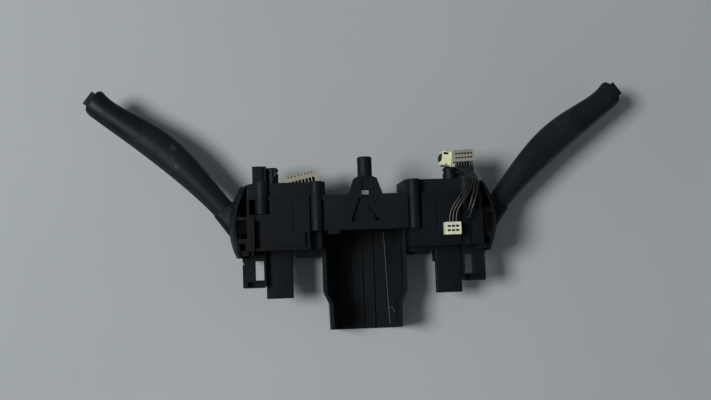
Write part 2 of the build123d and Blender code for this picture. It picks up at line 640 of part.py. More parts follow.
def contact_strips():
    width, thick, length = CONTACT_STRIP
    back = CASE_BACK_Y + CASE_WALL - PIVOT_Y
    middle = sum(TURN_SLIDER_X) / 2
    strips = [from_pivot((middle + offset - width / 2, middle + offset + width / 2), (back, back + thick),
                         (-length / 2, length / 2)) for offset in (-3.2, 0, 3.2)]
    return group(strips)


def detent_gate():
    """Block with a hollow ball face and three notches, on the case's front wall."""
    wall = -CASE_WALL - PIVOT_Y
    body = from_pivot(GATE_X, (GATE_FRONT, wall), (-GATE_HALF_Z, GATE_HALF_Z))
    tip_centre = math.hypot(DETENT_X, PLUNGER_REACH - PLUNGER_R)
    reach = tip_centre + PLUNGER_R + GATE_CREST_GAP
    hollow = Pos(PIVOT_X, PIVOT_Y, PIVOT_Z) * Sphere(reach)
    crest_y = PIVOT_Y + math.sqrt(reach ** 2 - DETENT_X ** 2)
    notches = []
    for step in (-1, 0, 1):
        start = (PIVOT_X + GATE_X[0] - 1, crest_y - 0.2, PIVOT_Z + step * GATE_NOTCH_PITCH)
        notches.append(rod(start, (1, 0, 0), GATE_NOTCH_R, GATE_X[1] - GATE_X[0] + 2))
    return body - hollow - notches


# ---------------------------------------------------------------- yoke
def yoke():
    """Gimbal frame: it turns about Z in the case, and the lever turns about Y in it."""
    ring = from_pivot((-YOKE_HALF_X, YOKE_HALF_X), (-YOKE_HALF_Y, YOKE_HALF_Y), (-YOKE_HALF_Z, YOKE_HALF_Z))
    ring = fillet(ring.edges().filter_by(Axis.X), 2.5)
    hole = from_pivot((-YOKE_HALF_X - 1, YOKE_HALF_X + 1), (-YOKE_WINDOW_Y, YOKE_WINDOW_Y),
                      (-YOKE_WINDOW_Z, YOKE_WINDOW_Z))
    lower_length = PIVOT_Z - YOKE_HALF_Z - (UNDERSIDE_Z + 1.3)
    lower = rod((PIVOT_X, PIVOT_Y, UNDERSIDE_Z + 1.3), (0, 0, 1), TRUNNION_R, lower_length + 1)
    upper_top = CASE_RIM_Z + COVER_PLATE - 0.8
    upper = rod((PIVOT_X, PIVOT_Y, PIVOT_Z + YOKE_HALF_Z - 1), (0, 0, 1), TRUNNION_R,
                upper_top - PIVOT_Z - YOKE_HALF_Z + 1)
    arm = from_pivot((YOKE_HALF_X - 1, PULL_PEG_X + 3), (-3, 3), (-YOKE_HALF_Z, -YOKE_WINDOW_Z))
    slider_top = UNDERSIDE_Z + CASE_WALL + BOARD_THICKNESS + FACE_GAP + PULL_SLIDER_HEIGHT
    peg_low = slider_top - 2.8
    peg_length = PIVOT_Z - YOKE_WINDOW_Z - 1 - peg_low
    peg = rod((PIVOT_X + PULL_PEG_X, PIVOT_Y, peg_low), (0, 0, 1), PULL_PEG_R, peg_length)
    pin_bore = rod((PIVOT_X, PIVOT_Y - YOKE_HALF_Y - 1, PIVOT_Z), (0, 1, 0), TURN_PIN_R, 2 * YOKE_HALF_Y + 2)
    return ring - hole + lower + upper + arm + peg - pin_bore


def turn_pin():
    return rod((PIVOT_X, PIVOT_Y - YOKE_HALF_Y, PIVOT_Z), (0, 1, 0), TURN_PIN_R, 2 * YOKE_HALF_Y)


def pull_slider():
    """Contact slider under the yoke, moved along Y by the yoke's peg."""
    low = UNDERSIDE_Z + CASE_WALL + BOARD_THICKNESS + FACE_GAP - PIVOT_Z
    body = from_pivot(PULL_SLIDER_X, (-PULL_SLIDER_HALF_Y, PULL_SLIDER_HALF_Y),
                      (low, low + PULL_SLIDER_HEIGHT))
    middle = sum(PULL_SLIDER_X) / 2
    slot = from_pivot((PULL_PEG_X - PULL_PEG_R - 0.7, PULL_PEG_X + PULL_PEG_R + 0.7),
                      (-PULL_PEG_R - 0.3, PULL_PEG_R + 0.3), (low + 1.0, low + PULL_SLIDER_HEIGHT + 1))
    waist = from_pivot((middle - 1.5, middle + 1.5), (-PULL_SLIDER_HALF_Y - 1, -PULL_SLIDER_HALF_Y + 1.5),
                       (low - 1, low + PULL_SLIDER_HEIGHT + 1))
    return body - slot - waist


def turn_slider():
    """Contact slider on the back wall, moved along Z by the lever's peg."""
    back = CASE_BACK_Y + CASE_WALL - PIVOT_Y + CONTACT_STRIP[1] + FACE_GAP
    body = from_pivot(TURN_SLIDER_X, (back, TURN_SLIDER_FRONT), (-TURN_SLIDER_HALF_Z, TURN_SLIDER_HALF_Z))
    slot = from_pivot((TURN_PEG_X - TURN_PEG_R - 2.2, TURN_PEG_X + TURN_PEG_R + 2.2),
                      (TURN_PEG_END - 2.6, TURN_SLIDER_FRONT + 1), (-TURN_PEG_R - 0.35, TURN_PEG_R + 0.35))
    return body - slot


# ---------------------------------------------------------------- lever and shield
def lever_arm():
    """Hub on the turn pin, the arm out to the shield, the peg and the bore for the detent plunger."""
    hub = from_pivot((-HUB_BACK, 9.0), (-HUB_HALF_Y, HUB_HALF_Y), (-HUB_HALF_Z, HUB_HALF_Z))
    hub = fillet(hub.edges().filter_by(Axis.Y), 2.0)
    arm = from_pivot((0, SHIELD_R), (-ARM_HALF_Y, ARM_HALF_Y), (-ARM_HALF_Z, ARM_HALF_Z))
    boss = rod((PIVOT_X + DETENT_X, PIVOT_Y, PIVOT_Z), (0, 1, 0), PLUNGER_BOSS_R, PLUNGER_BOSS_END)
    foot = from_pivot((SHIELD_R - 9.0, SHIELD_R), (-10.0, 10.0), (-7.4, 7.4))
    ball = Pos(PIVOT_X, PIVOT_Y, PIVOT_Z) * Sphere(SHIELD_R - SHIELD_WALL)
    peg = rod((PIVOT_X + TURN_PEG_X, PIVOT_Y + TURN_PEG_END, PIVOT_Z), (0, 1, 0), TURN_PEG_R,
              -ARM_HALF_Y - TURN_PEG_END + 0.5)
    pin_bore = rod((PIVOT_X, PIVOT_Y - 20, PIVOT_Z), (0, 1, 0), TURN_PIN_R + RUNNING_FIT, 40)
    plunger_bore = rod((PIVOT_X + DETENT_X, PIVOT_Y + PLUNGER_BORE_START, PIVOT_Z), (0, 1, 0),
                       PLUNGER_R + RUNNING_FIT, PLUNGER_BOSS_END - PLUNGER_BORE_START + 1)
    pocket = from_pivot((23.0, 38.0), (-ARM_HALF_Y + 1.6, ARM_HALF_Y - 1.6), (0, ARM_HALF_Z + 1))
    return ((hub + arm + boss + foot) & ball) + peg - pin_bore - plunger_bore - pocket


def detent_plunger():
    """Round-nosed plunger that the spring pushes toward the gate."""
    centre_y = PIVOT_Y + PLUNGER_REACH - PLUNGER_R
    shank = rod((PIVOT_X + DETENT_X, centre_y - PLUNGER_LENGTH, PIVOT_Z), (0, 1, 0),
                PLUNGER_R, PLUNGER_LENGTH)
    tip = Pos(PIVOT_X + DETENT_X, centre_y, PIVOT_Z) * Sphere(PLUNGER_R)
    return shank + tip


def detent_spring():
    """Coil spring between the bore's floor and the plunger."""
    start = PLUNGER_BORE_START + SPRING_WIRE_R
    end = PLUNGER_REACH - PLUNGER_R - PLUNGER_LENGTH - SPRING_WIRE_R
    height = end - start
    path = Helix(pitch=height / SPRING_TURNS, height=height, radius=SPRING_R)
    wire = sweep(Plane(origin=path @ 0, z_dir=path % 0) * Circle(SPRING_WIRE_R), path)
    return Plane(origin=(PIVOT_X + DETENT_X, PIVOT_Y + start, PIVOT_Z), z_dir=(0, 1, 0)) * wire


def shield():
    """Ball-shaped shield that closes the case's side, with ribs and the root bell of the stalk."""
    centre = Pos(PIVOT_X, PIVOT_Y, PIVOT_Z)
    window = from_pivot((30, SHIELD_R + 1), SHIELD_Y, (-SHIELD_HALF_Z, SHIELD_HALF_Z))
    window = fillet(window.edges().filter_by(Axis.X), SHIELD_CORNER_R)
    shell = (centre * Sphere(SHIELD_R) - centre * Sphere(SHIELD_R - SHIELD_WALL)) & window
    foot_at = (PIVOT_X + SHIELD_R - 7.5, PIVOT_Y + 1.0, PIVOT_Z)
    bell_foot = Plane(origin=foot_at, x_dir=(0, 1, 0), z_dir=(1, 0, 0)) * RectangleRounded(*BELL_FOOT)
    bell = loft([bell_foot, stalk_plane(BELL_STATION) * Pos(-0.9, 0) * RectangleRounded(*BELL_NECK)])
    return shell + (bell - centre * Sphere(SHIELD_R - 0.2)) - stalk_solid(0.0)


# ---------------------------------------------------------------- stalk
def stalk_frame(station):
    """Point and heading, in degrees, on the centre line at a distance from the root."""
    root_angle = math.radians(STALK_ROOT_ANGLE)
    bend_length = STALK_BEND_R * math.radians(STALK_ROOT_ANGLE - STALK_TIP_ANGLE)
    along = min(station, bend_length)
    angle = root_angle - along / STALK_BEND_R
    x = STALK_ROOT[0] + STALK_BEND_R * (math.sin(root_angle) - math.sin(angle))
    y = STALK_ROOT[1] + STALK_BEND_R * (math.cos(angle) - math.cos(root_angle))
    rest = station - along
    return x + rest * math.cos(angle), y + rest * math.sin(angle), angle


def stalk_length():
    return STALK_BEND_R * math.radians(STALK_ROOT_ANGLE - STALK_TIP_ANGLE) + STALK_STRAIGHT


def stalk_plane(station):
    """Cross-section plane: its x is across the stalk toward the driver, its y is up."""
    x, y, angle = stalk_frame(station)
    return Plane(origin=(x, y, PIVOT_Z), x_dir=(-math.sin(angle), math.cos(angle), 0),
                 z_dir=(math.cos(angle), math.sin(angle), 0))


def stalk_profile(width, height, grow):
    """Section with a flatter back edge and a full front edge, upper and lower halves alike."""
    half_w = width / 2 + grow
    half_h = height / 2 + grow
    back = (-half_w, 0)
    front = (half_w, 0)
    edges = []
    for side in (1, -1):
        shoulder = (-half_w + 2.6, side * half_h * 0.66)
        crown = (0.4, side * half_h)
        cheek = (half_w - 3.4, side * half_h * 0.80)
        edges.append(Line(back, shoulder))
        edges.append(ThreePointArc(shoulder, crown, cheek))
        edges.append(ThreePointArc(cheek, (half_w - 0.75, side * half_h * 0.44), front))
    outline = edges[0]
    for edge in edges[1:]:
        outline = outline + edge
    return make_face(outline)


def stalk_solid(grow, start=None, end_short=0.0):
    """Loft along the centre line; grow below zero gives the hollow."""
    length = stalk_length()
    first = STALK_ROOT_IN if start is None else start
    stations = [(first,) + STALK_ROOT_SIZE] + STALK_STATIONS
    stations = stations + [(length - end_short,) + STALK_END_SIZE]
    return loft([stalk_plane(s) * Pos(shift, 0) * stalk_profile(w, h, grow) for s, w, h, shift in stations])


def stalk_outer():
    body = stalk_solid(0.0)
    tip = stalk_plane(stalk_length())
    end_face = body.faces().sort_by(lambda face: (face.center() - tip.origin).length)[0]
    return fillet(end_face.edges(), STALK_END_ROUND) - end_corner(1) - end_corner(-1)


def end_corner(side):
    """What lies outside the round corner of the stalk's end, seen from above."""
    radius = STALK_CORNER_R
    width, _, shift = STALK_END_SIZE
    across = shift + side * (width / 2 - radius)
    corner = tip_block((across, across + side * (radius + 3)), (-20, 20), (-radius, 1))
    inside = Pos(across, 0, -radius) * Rot(90, 0, 0) * Cylinder(radius, 50)
    return corner - stalk_plane(stalk_length()) * inside


def tip_block(u, v, along):
    """Block in the frame of the stalk's end: across, up and along."""
    plane = stalk_plane(stalk_length())
    size = [abs(limits[1] - limits[0]) for limits in (u, v, along)]
    middle = [(limits[1] + limits[0]) / 2 for limits in (u, v, along)]
    return plane * (Pos(*middle) * Box(*size))


def inlay_prism(grow):
    """Upright prism over the inlay's outline, a strip with one round end."""
    plane = stalk_plane(stalk_length())
    half = INLAY_HALF_WIDTH + grow
    strip = plane * (Pos(INLAY_OFFSET, 12, -(INLAY_LENGTH - half) / 2 + 5) * Box(
        2 * half, 24, INLAY_LENGTH - half + 10))
    end = plane * (Pos(INLAY_OFFSET, 12, -(INLAY_LENGTH - half)) * Rot(90, 0, 0) * Cylinder(half, 24))
    return strip + end


def button_limits(gap):
    half_w = BUTTON_WIDTH / 2 + gap
    half_h = BUTTON_HEIGHT / 2 + gap
    return (BUTTON_OFFSET - half_w, BUTTON_OFFSET + half_w), (-half_h, half_h)


def root_ball():
    return Pos(PIVOT_X, PIVOT_Y, PIVOT_Z) * Sphere(SHIELD_R - SHIELD_WALL)


def stalk_pieces():
    """Upper and lower shell and the inlay cap."""
    outer = stalk_outer()
    hollow = stalk_solid(-STALK_WALL, start=8.0, end_short=STALK_WALL)
    skin = outer - stalk_solid(-INLAY_DEPTH, end_short=INLAY_DEPTH)
    u, v = button_limits(BUTTON_GAP)
    button_way = tip_block(u, v, (-STALK_WALL - 3.0, 5.0))
    shell = outer - hollow - button_way - root_ball()
    upper_half = block((0, 300), (-100, 200), (PIVOT_Z, PIVOT_Z + 60))
    lower_half = block((0, 300), (-100, 200), (PIVOT_Z - 60, PIVOT_Z))
    cap = skin & inlay_prism(0)
    cap = cap & block((0, 300), (-100, 200), (PIVOT_Z + 2.0, PIVOT_Z + 60))
    recess = skin & inlay_prism(INLAY_GAP) & block((0, 300), (-100, 200), (PIVOT_Z + 1.7, PIVOT_Z + 60))
    upper = (shell & upper_half) - recess
    lower = shell & lower_half
    cap = cap - button_way
    return upper, lower, cap


def tip_button():
    """Push-button in the stalk's end: a crowned cap and a stem with a stop flange."""
    u, v = button_limits(0)
    cap = tip_block(u, v, (-STALK_WALL - 0.6, BUTTON_PROUD))
    direction = stalk_plane(stalk_length()).z_dir
    outer_face = cap.faces().sort_by(lambda face: face.center().dot(direction))[-1]
    cap = fillet(outer_face.edges(), 0.9)
    half = BUTTON_STEM_SIDE / 2
    stem = tip_block((BUTTON_OFFSET - half, BUTTON_OFFSET + half), (-half, half),
                     (-STALK_WALL - BUTTON_STEM, -STALK_WALL))
    return cap + stem


def button_switch():
    """Micro switch behind the button, in the lower shell."""
    end = -STALK_WALL - BUTTON_STEM - BUTTON_TRAVEL - FACE_GAP
    half = SWITCH_WIDTH / 2
    return tip_block((BUTTON_OFFSET - half, BUTTON_OFFSET + half), SWITCH_V, (end - SWITCH_LENGTH, end))


# ---------------------------------------------------------------- screws
def screw_y(x, y_head, z, shank):
    """Pan-head screw along Y with its head toward the driver."""
    head = rod((x, y_head, z), (0, 1, 0), SCREW_HEAD_R, 2.4)
    head = fillet(head.edges().sort_by(Axis.Y)[-1], 0.9)
    body = rod((x, y_head - shank, z), (0, 1, 0), SCREW_SHANK_R, shank)
    cross = block((x - 1.9, x + 1.9), (y_head + 1.2, y_head + 3), (z - 0.4, z + 0.4))
    cross = cross + block((x - 0.4, x + 0.4), (y_head + 1.2, y_head + 3), (z - 1.9, z + 1.9))
    return head + body - cross


def case_screws():
    seat = FLANGE_DEPTH - 1.4
    one = screw_y(BOSS_X, seat, BOSS_Z, seat + 8.0)
    return group([one, left(one)])


def countersunk_screw(x, y, z_head):
    """Countersunk screw along Z with its head flush with the underside."""
    head = Pos(x, y, z_head + 0.8) * Cone(SADDLE_SCREW_HEAD_R, SADDLE_SCREW_R, 1.6)
    return head + rod((x, y, z_head), (0, 0, 1), SADDLE_SCREW_R, 5.4)


def saddle_screws():
    x, y = SADDLE_SCREW
    return group([countersunk_screw(side * x, y, UNDERSIDE_Z) for side in (1, -1)])


# ---------------------------------------------------------------- plugs and connectors
def front_plug(end_y):
    """Square plug on the flange's pad, with a lower lip along its inner edge."""
    x_low, x_high = PLUG_X
    top = PLUG_Z[1]
    body = soft_block(PLUG_X, (FLANGE_DEPTH, end_y), PLUG_Z, 0.8, Axis.Y)
    step = block((x_low - 1, x_low + PLUG_LIP), (FLANGE_DEPTH - 1, end_y + 1), (top - 1.0, top + 1))
    start, width, depth = PLUG_GROOVE
    groove_y = (FLANGE_DEPTH + start, FLANGE_DEPTH + start + width)
    groove = block((x_low - 1, x_high + 1), groove_y, (top - depth, top + 1))
    return body - step - groove


def coupling_barrel(across, radius, end_y):
    """Round coupling beside the plug: a waisted barrel with a chamfered end."""
    body = rod((across, FLANGE_DEPTH, BARREL_Z), (0, 1, 0), radius, end_y - FLANGE_DEPTH)
    body = chamfer(body.edges().sort_by(Axis.Y)[-1], 1.2)
    back, width = BARREL_NECK_AT
    ring_cut = rod((across, end_y - back, BARREL_Z), (0, 1, 0), radius + 1, width)
    ring_core = rod((across, end_y - back - 1, BARREL_Z), (0, 1, 0), radius - BARREL_NECK, width + 2)
    return body - (ring_cut - ring_core)


def hole_grid(columns, rows, pitch, top):
    """Square contact windows in a connector's top face, about its middle."""
    holes = []
    for i in range(columns):
        for j in range(rows):
            x = (i - (columns - 1) / 2) * pitch[0]
            y = (j - (rows - 1) / 2) * pitch[1]
            half = HOLE_SIDE / 2
            holes.append(block((x - half, x + half), (y - half, y + half), (top - HOLE_DEPTH, top + 1)))
    return holes


def connector(size, place, base_z, turn, details):
    """Connector housing built about its own middle, then turned and set down."""
    plain = block((-size[0] / 2, size[0] / 2), (-size[1] / 2, size[1] / 2), (0, size[2]))
    plain = fillet(plain.edges().filter_by(Axis.Z), 0.5)
    return Pos(place[0], place[1], base_z) * Rot(0, 0, turn) * (plain - details)


def white_connector():
    """Six-way connector that stands on the right-hand cover."""
    top = WHITE_SIZE[2]
    holes = hole_grid(3, 2, WHITE_PITCH, top)
    latch = block((-WHITE_SIZE[0] / 2 - 1, -WHITE_SIZE[0] / 2 + 1.4), (-5, -1.6), (top - 1.6, top + 1))
    base_z = CASE_RIM_Z + COVER_PLATE + PANEL_RISE
    return connector(WHITE_SIZE, WHITE_AT, base_z, 0, holes + [latch])


def grey_connector():
    """Twelve-way connector in front of the right-hand plug."""
    holes = hole_grid(6, 2, GREY_PITCH, GREY_SIZE[2])
    return connector(GREY_SIZE, GREY_AT, GREY_BASE_Z, GREY_TURN, holes)


def cream_connector():
    """Short connector on the end of the right-hand coupling."""
    width, depth, top = CREAM_SIZE
    mouth = block((-width / 2 + 0.8, width / 2 - 2.6), (depth / 2 - 2.4, depth / 2 - 0.8), (top - 5, top + 1))
    key = block((-0.6, 0.9), (-depth / 2 - 1, -depth / 2 + 1.2), (top - 3, top + 1))
    return connector(CREAM_SIZE, CREAM_AT, CREAM_BASE_Z, CREAM_TURN, [mouth, key])


def tilted_connector():
    """Multi-way connector that sits askew in the left-hand flange."""
    width, depth, top = TILTED_SIZE
    ways = 8
    details = hole_grid(ways, 1, (TILTED_PITCH, 1), top)
    for i in range(ways):
        x = (i - (ways - 1) / 2) * TILTED_PITCH
        details.append(block((x - 0.7, x + 0.7), (depth / 2 - 2.0, depth / 2 + 1), (2.0, top - 2.4)))
    return connector(TILTED_SIZE, TILTED_AT, TILTED_BASE_Z, TILTED_TURN, details)


# ---------------------------------------------------------------- leads
LEAD_ROUTES = {
    "lead_1": [
        (58.9, -22.0, 34.0), (58.9, -16.73, 34.0), (61.98, -9.96, 35.4), (66.56, -3.5, 36.6),
        (71.06, 2.6, 36.4), (73.54, 8.53, 33.6), (73.2, 13.3, 28.0),
        (70.98, 16.48, 22.0), (68.62, 18.6, 18.6), (68.47, 22.58, 18.6),
    ],
    "lead_2": [
        (61.3, -22.0, 34.0), (61.3, -16.17, 34.0), (64.29, -9.96, 35.6), (68.75, -3.6, 36.8),
        (73.04, 2.4, 36.4), (75.33, 8.35, 33.6), (74.99, 13.12, 28.0),
        (72.88, 16.48, 22.0), (70.52, 18.7, 18.6), (70.37, 22.65, 18.6),
    ],
    "lead_3": [
        (63.7, -22.0, 34.0), (63.75, -15.72, 34.0), (66.83, -9.73, 35.7), (71.15, -3.6, 36.8),
        (75.02, 2.2, 36.2), (77.11, 8.18, 33.4), (76.77, 12.95, 27.8),
        (74.78, 16.48, 21.8), (72.42, 18.8, 18.6), (72.27, 22.73, 18.6),
    ],
    "lead_4": [
        (72.4, -16.5, 28.0), (72.4, -16.5, 32.0), (73.22, -12.2, 34.6), (75.1, -5.6, 36.0),
        (77.34, 1.4, 35.4), (78.91, 8.18, 32.6), (78.57, 12.95, 27.2),
        (76.58, 16.48, 21.4), (74.32, 19.0, 18.6), (74.17, 22.8, 18.6),
    ],
    "lead_5": [
        (72.4, -20.5, 28.0), (72.4, -20.5, 32.2), (73.9, -16.2, 35.0), (76.14, -9.4, 37.0),
        (78.53, -2.2, 37.0), (80.32, 5.2, 34.6), (80.47, 11.53, 29.2),
        (78.74, 15.77, 22.4), (76.23, 18.8, 18.6), (76.07, 22.87, 18.6),
    ],
}
SHORT_LEADS = [
    [(78.4, 22.93, 18.6), (78.55, 19.2, 18.6), (79.7, 15.9, 18.0), (81.3, 12.9, 17.2), (81.3, 10.0, 17.2)],
    [(80.2, 22.99, 18.6), (80.35, 19.2, 18.6), (81.3, 16.0, 17.2), (81.3, 13.0, 14.8), (81.3, 10.0, 14.8)],
]


def lead(points):
    """Round lead along straight runs joined by the largest arcs that the runs allow."""
    corners = [Vector(*p) for p in points]
    radii = []
    for before, here, after in zip(corners, corners[1:], corners[2:]):
        turn = math.radians((here - before).get_angle(after - here))
        shorter = min((here - before).length, (after - here).length)
        radii.append(0.45 * shorter / math.tan(turn / 2))
    path = FilletPolyline(*corners, radius=radii)
    start = Plane(origin=path @ 0, z_dir=path % 0)
    tube = sweep(start * Circle(LEAD_R), path)
    print("lead radii", [round(r, 1) for r in radii], "length", round(path.length, 1),
          "volume over section times length", round(tube.volume / (math.pi * LEAD_R ** 2 * path.length), 4))
    return tube


def write(name, shape):
    shape.label = name
    export_step(shape, os.path.join("parts", name + ".step"))
    solids = len(shape.solids())
    print(f"{name:28s} solids {solids:3d}  volume {shape.volume:10.1f}  valid {shape.is_valid}")


def main():
    os.makedirs("parts", exist_ok=True)
    write("carrier_housing", carrier_housing())
    write("column_saddle", column_saddle())
    write("case_screws", case_screws())
    write("saddle_screws", saddle_screws())
    write("front_plug_right", front_plug(PLUG_END_RIGHT))
    write("front_plug_left", left(front_plug(PLUG_END_LEFT)))
    write("coupling_barrel_right", coupling_barrel(*BARREL_RIGHT))
    write("coupling_barrel_left", left(coupling_barrel(*BARREL_LEFT)))
    write("white_connector", white_connector())
    write("grey_connector", grey_connector())
    write("cream_connector", cream_connector())
    write("tilted_connector", tilted_connector())
    for name, points in LEAD_ROUTES.items():
        write(name, lead(points))
    write("short_leads", group([lead(points) for points in SHORT_LEADS]))
    upper, lower, cap = stalk_pieces()
    pairs = {
        "switch_case": switch_case(), "case_cover": case_cover(), "circuit_board": circuit_board(),
        "header_block": header_block(), "header_pins": header_pins(), "contact_strips": contact_strips(),
        "detent_gate": detent_gate(), "yoke": yoke(), "turn_pin": turn_pin(),
        "pull_slider": pull_slider(), "turn_slider": turn_slider(), "lever_arm": lever_arm(),
        "detent_plunger": detent_plunger(), "detent_spring": detent_spring(), "shield": shield(),
        "stalk_upper": upper, "stalk_lower": lower, "stalk_inlay": cap,
        "tip_button": tip_button(), "button_switch": button_switch(),
    }
    for name, shape in pairs.items():
        write(name + "_right", shape)
        write(name + "_left", left(shape))


main()
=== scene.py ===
"""Combination stalk switch: looks, floor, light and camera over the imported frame."""
import json
import math

import bmesh
import bpy
from mathutils import Matrix, Vector


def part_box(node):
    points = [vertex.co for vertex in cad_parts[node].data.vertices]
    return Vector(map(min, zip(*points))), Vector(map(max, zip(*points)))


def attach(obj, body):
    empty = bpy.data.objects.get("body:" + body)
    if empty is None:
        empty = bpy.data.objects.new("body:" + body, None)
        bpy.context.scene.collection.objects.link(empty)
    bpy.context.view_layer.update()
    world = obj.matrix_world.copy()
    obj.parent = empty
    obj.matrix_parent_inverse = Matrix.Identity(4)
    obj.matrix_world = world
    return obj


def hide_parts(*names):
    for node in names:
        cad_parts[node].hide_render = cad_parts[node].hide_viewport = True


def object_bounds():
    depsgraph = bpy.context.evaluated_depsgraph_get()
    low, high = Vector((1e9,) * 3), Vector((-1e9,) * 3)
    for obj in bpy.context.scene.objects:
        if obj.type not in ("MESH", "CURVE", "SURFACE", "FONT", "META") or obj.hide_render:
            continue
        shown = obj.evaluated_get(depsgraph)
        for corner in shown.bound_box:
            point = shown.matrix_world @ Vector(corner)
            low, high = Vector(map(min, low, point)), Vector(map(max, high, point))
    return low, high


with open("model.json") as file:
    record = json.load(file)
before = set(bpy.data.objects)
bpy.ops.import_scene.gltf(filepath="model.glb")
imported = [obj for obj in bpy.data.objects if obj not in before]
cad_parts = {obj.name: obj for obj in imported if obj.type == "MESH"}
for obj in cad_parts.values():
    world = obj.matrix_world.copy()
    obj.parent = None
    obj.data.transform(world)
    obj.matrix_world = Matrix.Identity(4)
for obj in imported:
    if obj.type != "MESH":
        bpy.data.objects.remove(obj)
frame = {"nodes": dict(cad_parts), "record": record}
cad_low, cad_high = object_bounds()
record = frame["record"]
BODY_OF = {node: body for body, nodes in record["behaviour"]["bodies"].items() for node in nodes}
SLOT_OF = {entry["node"]: entry["material_slot"] for entry in record["subparts"]}


def mm(*values):
    """Millimetres to a point in metres."""
    return Vector([value / 1000 for value in values])


def linear(*levels):
    """Screen levels from 0 to 255 to a linear colour."""
    out = []
    for level in levels:
        share = level / 255
        out.append(share / 12.92 if share <= 0.04045 else ((share + 0.055) / 1.055) ** 2.4)
    return tuple(out) + (1.0,)


def smooth_line(name, points, bevel, rounding, steps, point_radius=1.0):
    """Round capped line through points in millimetres; its thickness is bevel times point radius."""
    curve = bpy.data.curves.new(name, "CURVE")
    curve.dimensions = "3D"
    curve.bevel_depth = bevel
    curve.bevel_resolution = rounding
    curve.use_fill_caps = True
    curve.resolution_u = steps
    line = curve.splines.new("NURBS")
    line.points.add(len(points) - 1)
    for point, place in zip(line.points, points):
        point.co = (*mm(*place), 1.0)
        point.radius = point_radius
    line.order_u = 3
    line.use_endpoint_u = True
    return curve


# ---------------------------------------------------------------- camera
SENSOR_WIDTH = 36.0
LENS = 41.05
CAMERA_PLACE = (-0.0526, -0.0428, 0.6027)
CAMERA_TURN = (4.0, -4.38, -1.95)

camera = bpy.data.objects.new("camera", bpy.data.cameras.new("camera"))
bpy.context.scene.collection.objects.link(camera)
camera.data.sensor_width = SENSOR_WIDTH
camera.data.lens = LENS
camera.location = CAMERA_PLACE
camera.rotation_euler = [math.radians(angle) for angle in CAMERA_TURN]
bpy.context.scene.camera = camera

# ---------------------------------------------------------------- leads
LEAD_DIAMETER = 0.0013
# centre lines in millimetres, the same points as in the part's source
LEAD_ROUTES = {
    "lead_1": [
        (58.9, -22.0, 34.0), (58.9, -16.73, 34.0), (61.98, -9.96, 35.4), (66.56, -3.5, 36.6),
        (71.06, 2.6, 36.4), (73.54, 8.53, 33.6), (73.2, 13.3, 28.0),
        (70.98, 16.48, 22.0), (68.62, 18.6, 18.6), (68.47, 22.58, 18.6),
    ],
    "lead_2": [
        (61.3, -22.0, 34.0), (61.3, -16.17, 34.0), (64.29, -9.96, 35.6), (68.75, -3.6, 36.8),
        (73.04, 2.4, 36.4), (75.33, 8.35, 33.6), (74.99, 13.12, 28.0),
        (72.88, 16.48, 22.0), (70.52, 18.7, 18.6), (70.37, 22.65, 18.6),
    ],
    "lead_3": [
        (63.7, -22.0, 34.0), (63.75, -15.72, 34.0), (66.83, -9.73, 35.7), (71.15, -3.6, 36.8),
        (75.02, 2.2, 36.2), (77.11, 8.18, 33.4), (76.77, 12.95, 27.8),
        (74.78, 16.48, 21.8), (72.42, 18.8, 18.6), (72.27, 22.73, 18.6),
    ],
    "lead_4": [
        (72.4, -16.5, 28.0), (72.4, -16.5, 32.0), (73.22, -12.2, 34.6), (75.1, -5.6, 36.0),
        (77.34, 1.4, 35.4), (78.91, 8.18, 32.6), (78.57, 12.95, 27.2),
        (76.58, 16.48, 21.4), (74.32, 19.0, 18.6), (74.17, 22.8, 18.6),
    ],
    "lead_5": [
        (72.4, -20.5, 28.0), (72.4, -20.5, 32.2), (73.9, -16.2, 35.0), (76.14, -9.4, 37.0),
        (78.53, -2.2, 37.0), (80.32, 5.2, 34.6), (80.47, 11.53, 29.2),
        (78.74, 15.77, 22.4), (76.23, 18.8, 18.6), (76.07, 22.87, 18.6),
    ],
}


def lead_curve(name, points):
    """Round lead along a smooth line through its route."""
    # the thickness is in the points, because a point radius of 1 widens the curve's box by a metre
    curve = smooth_line(name + "_line", points, bevel=1.0, rounding=4, steps=8,
                        point_radius=LEAD_DIAMETER / 2)
    piece = bpy.data.objects.new(name + "_jacket", curve)
    bpy.context.scene.collection.objects.link(piece)
    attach(piece, "carrier")
    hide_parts(name)
    return piece


leads = {name: lead_curve(name, points) for name, points in LEAD_ROUTES.items()}


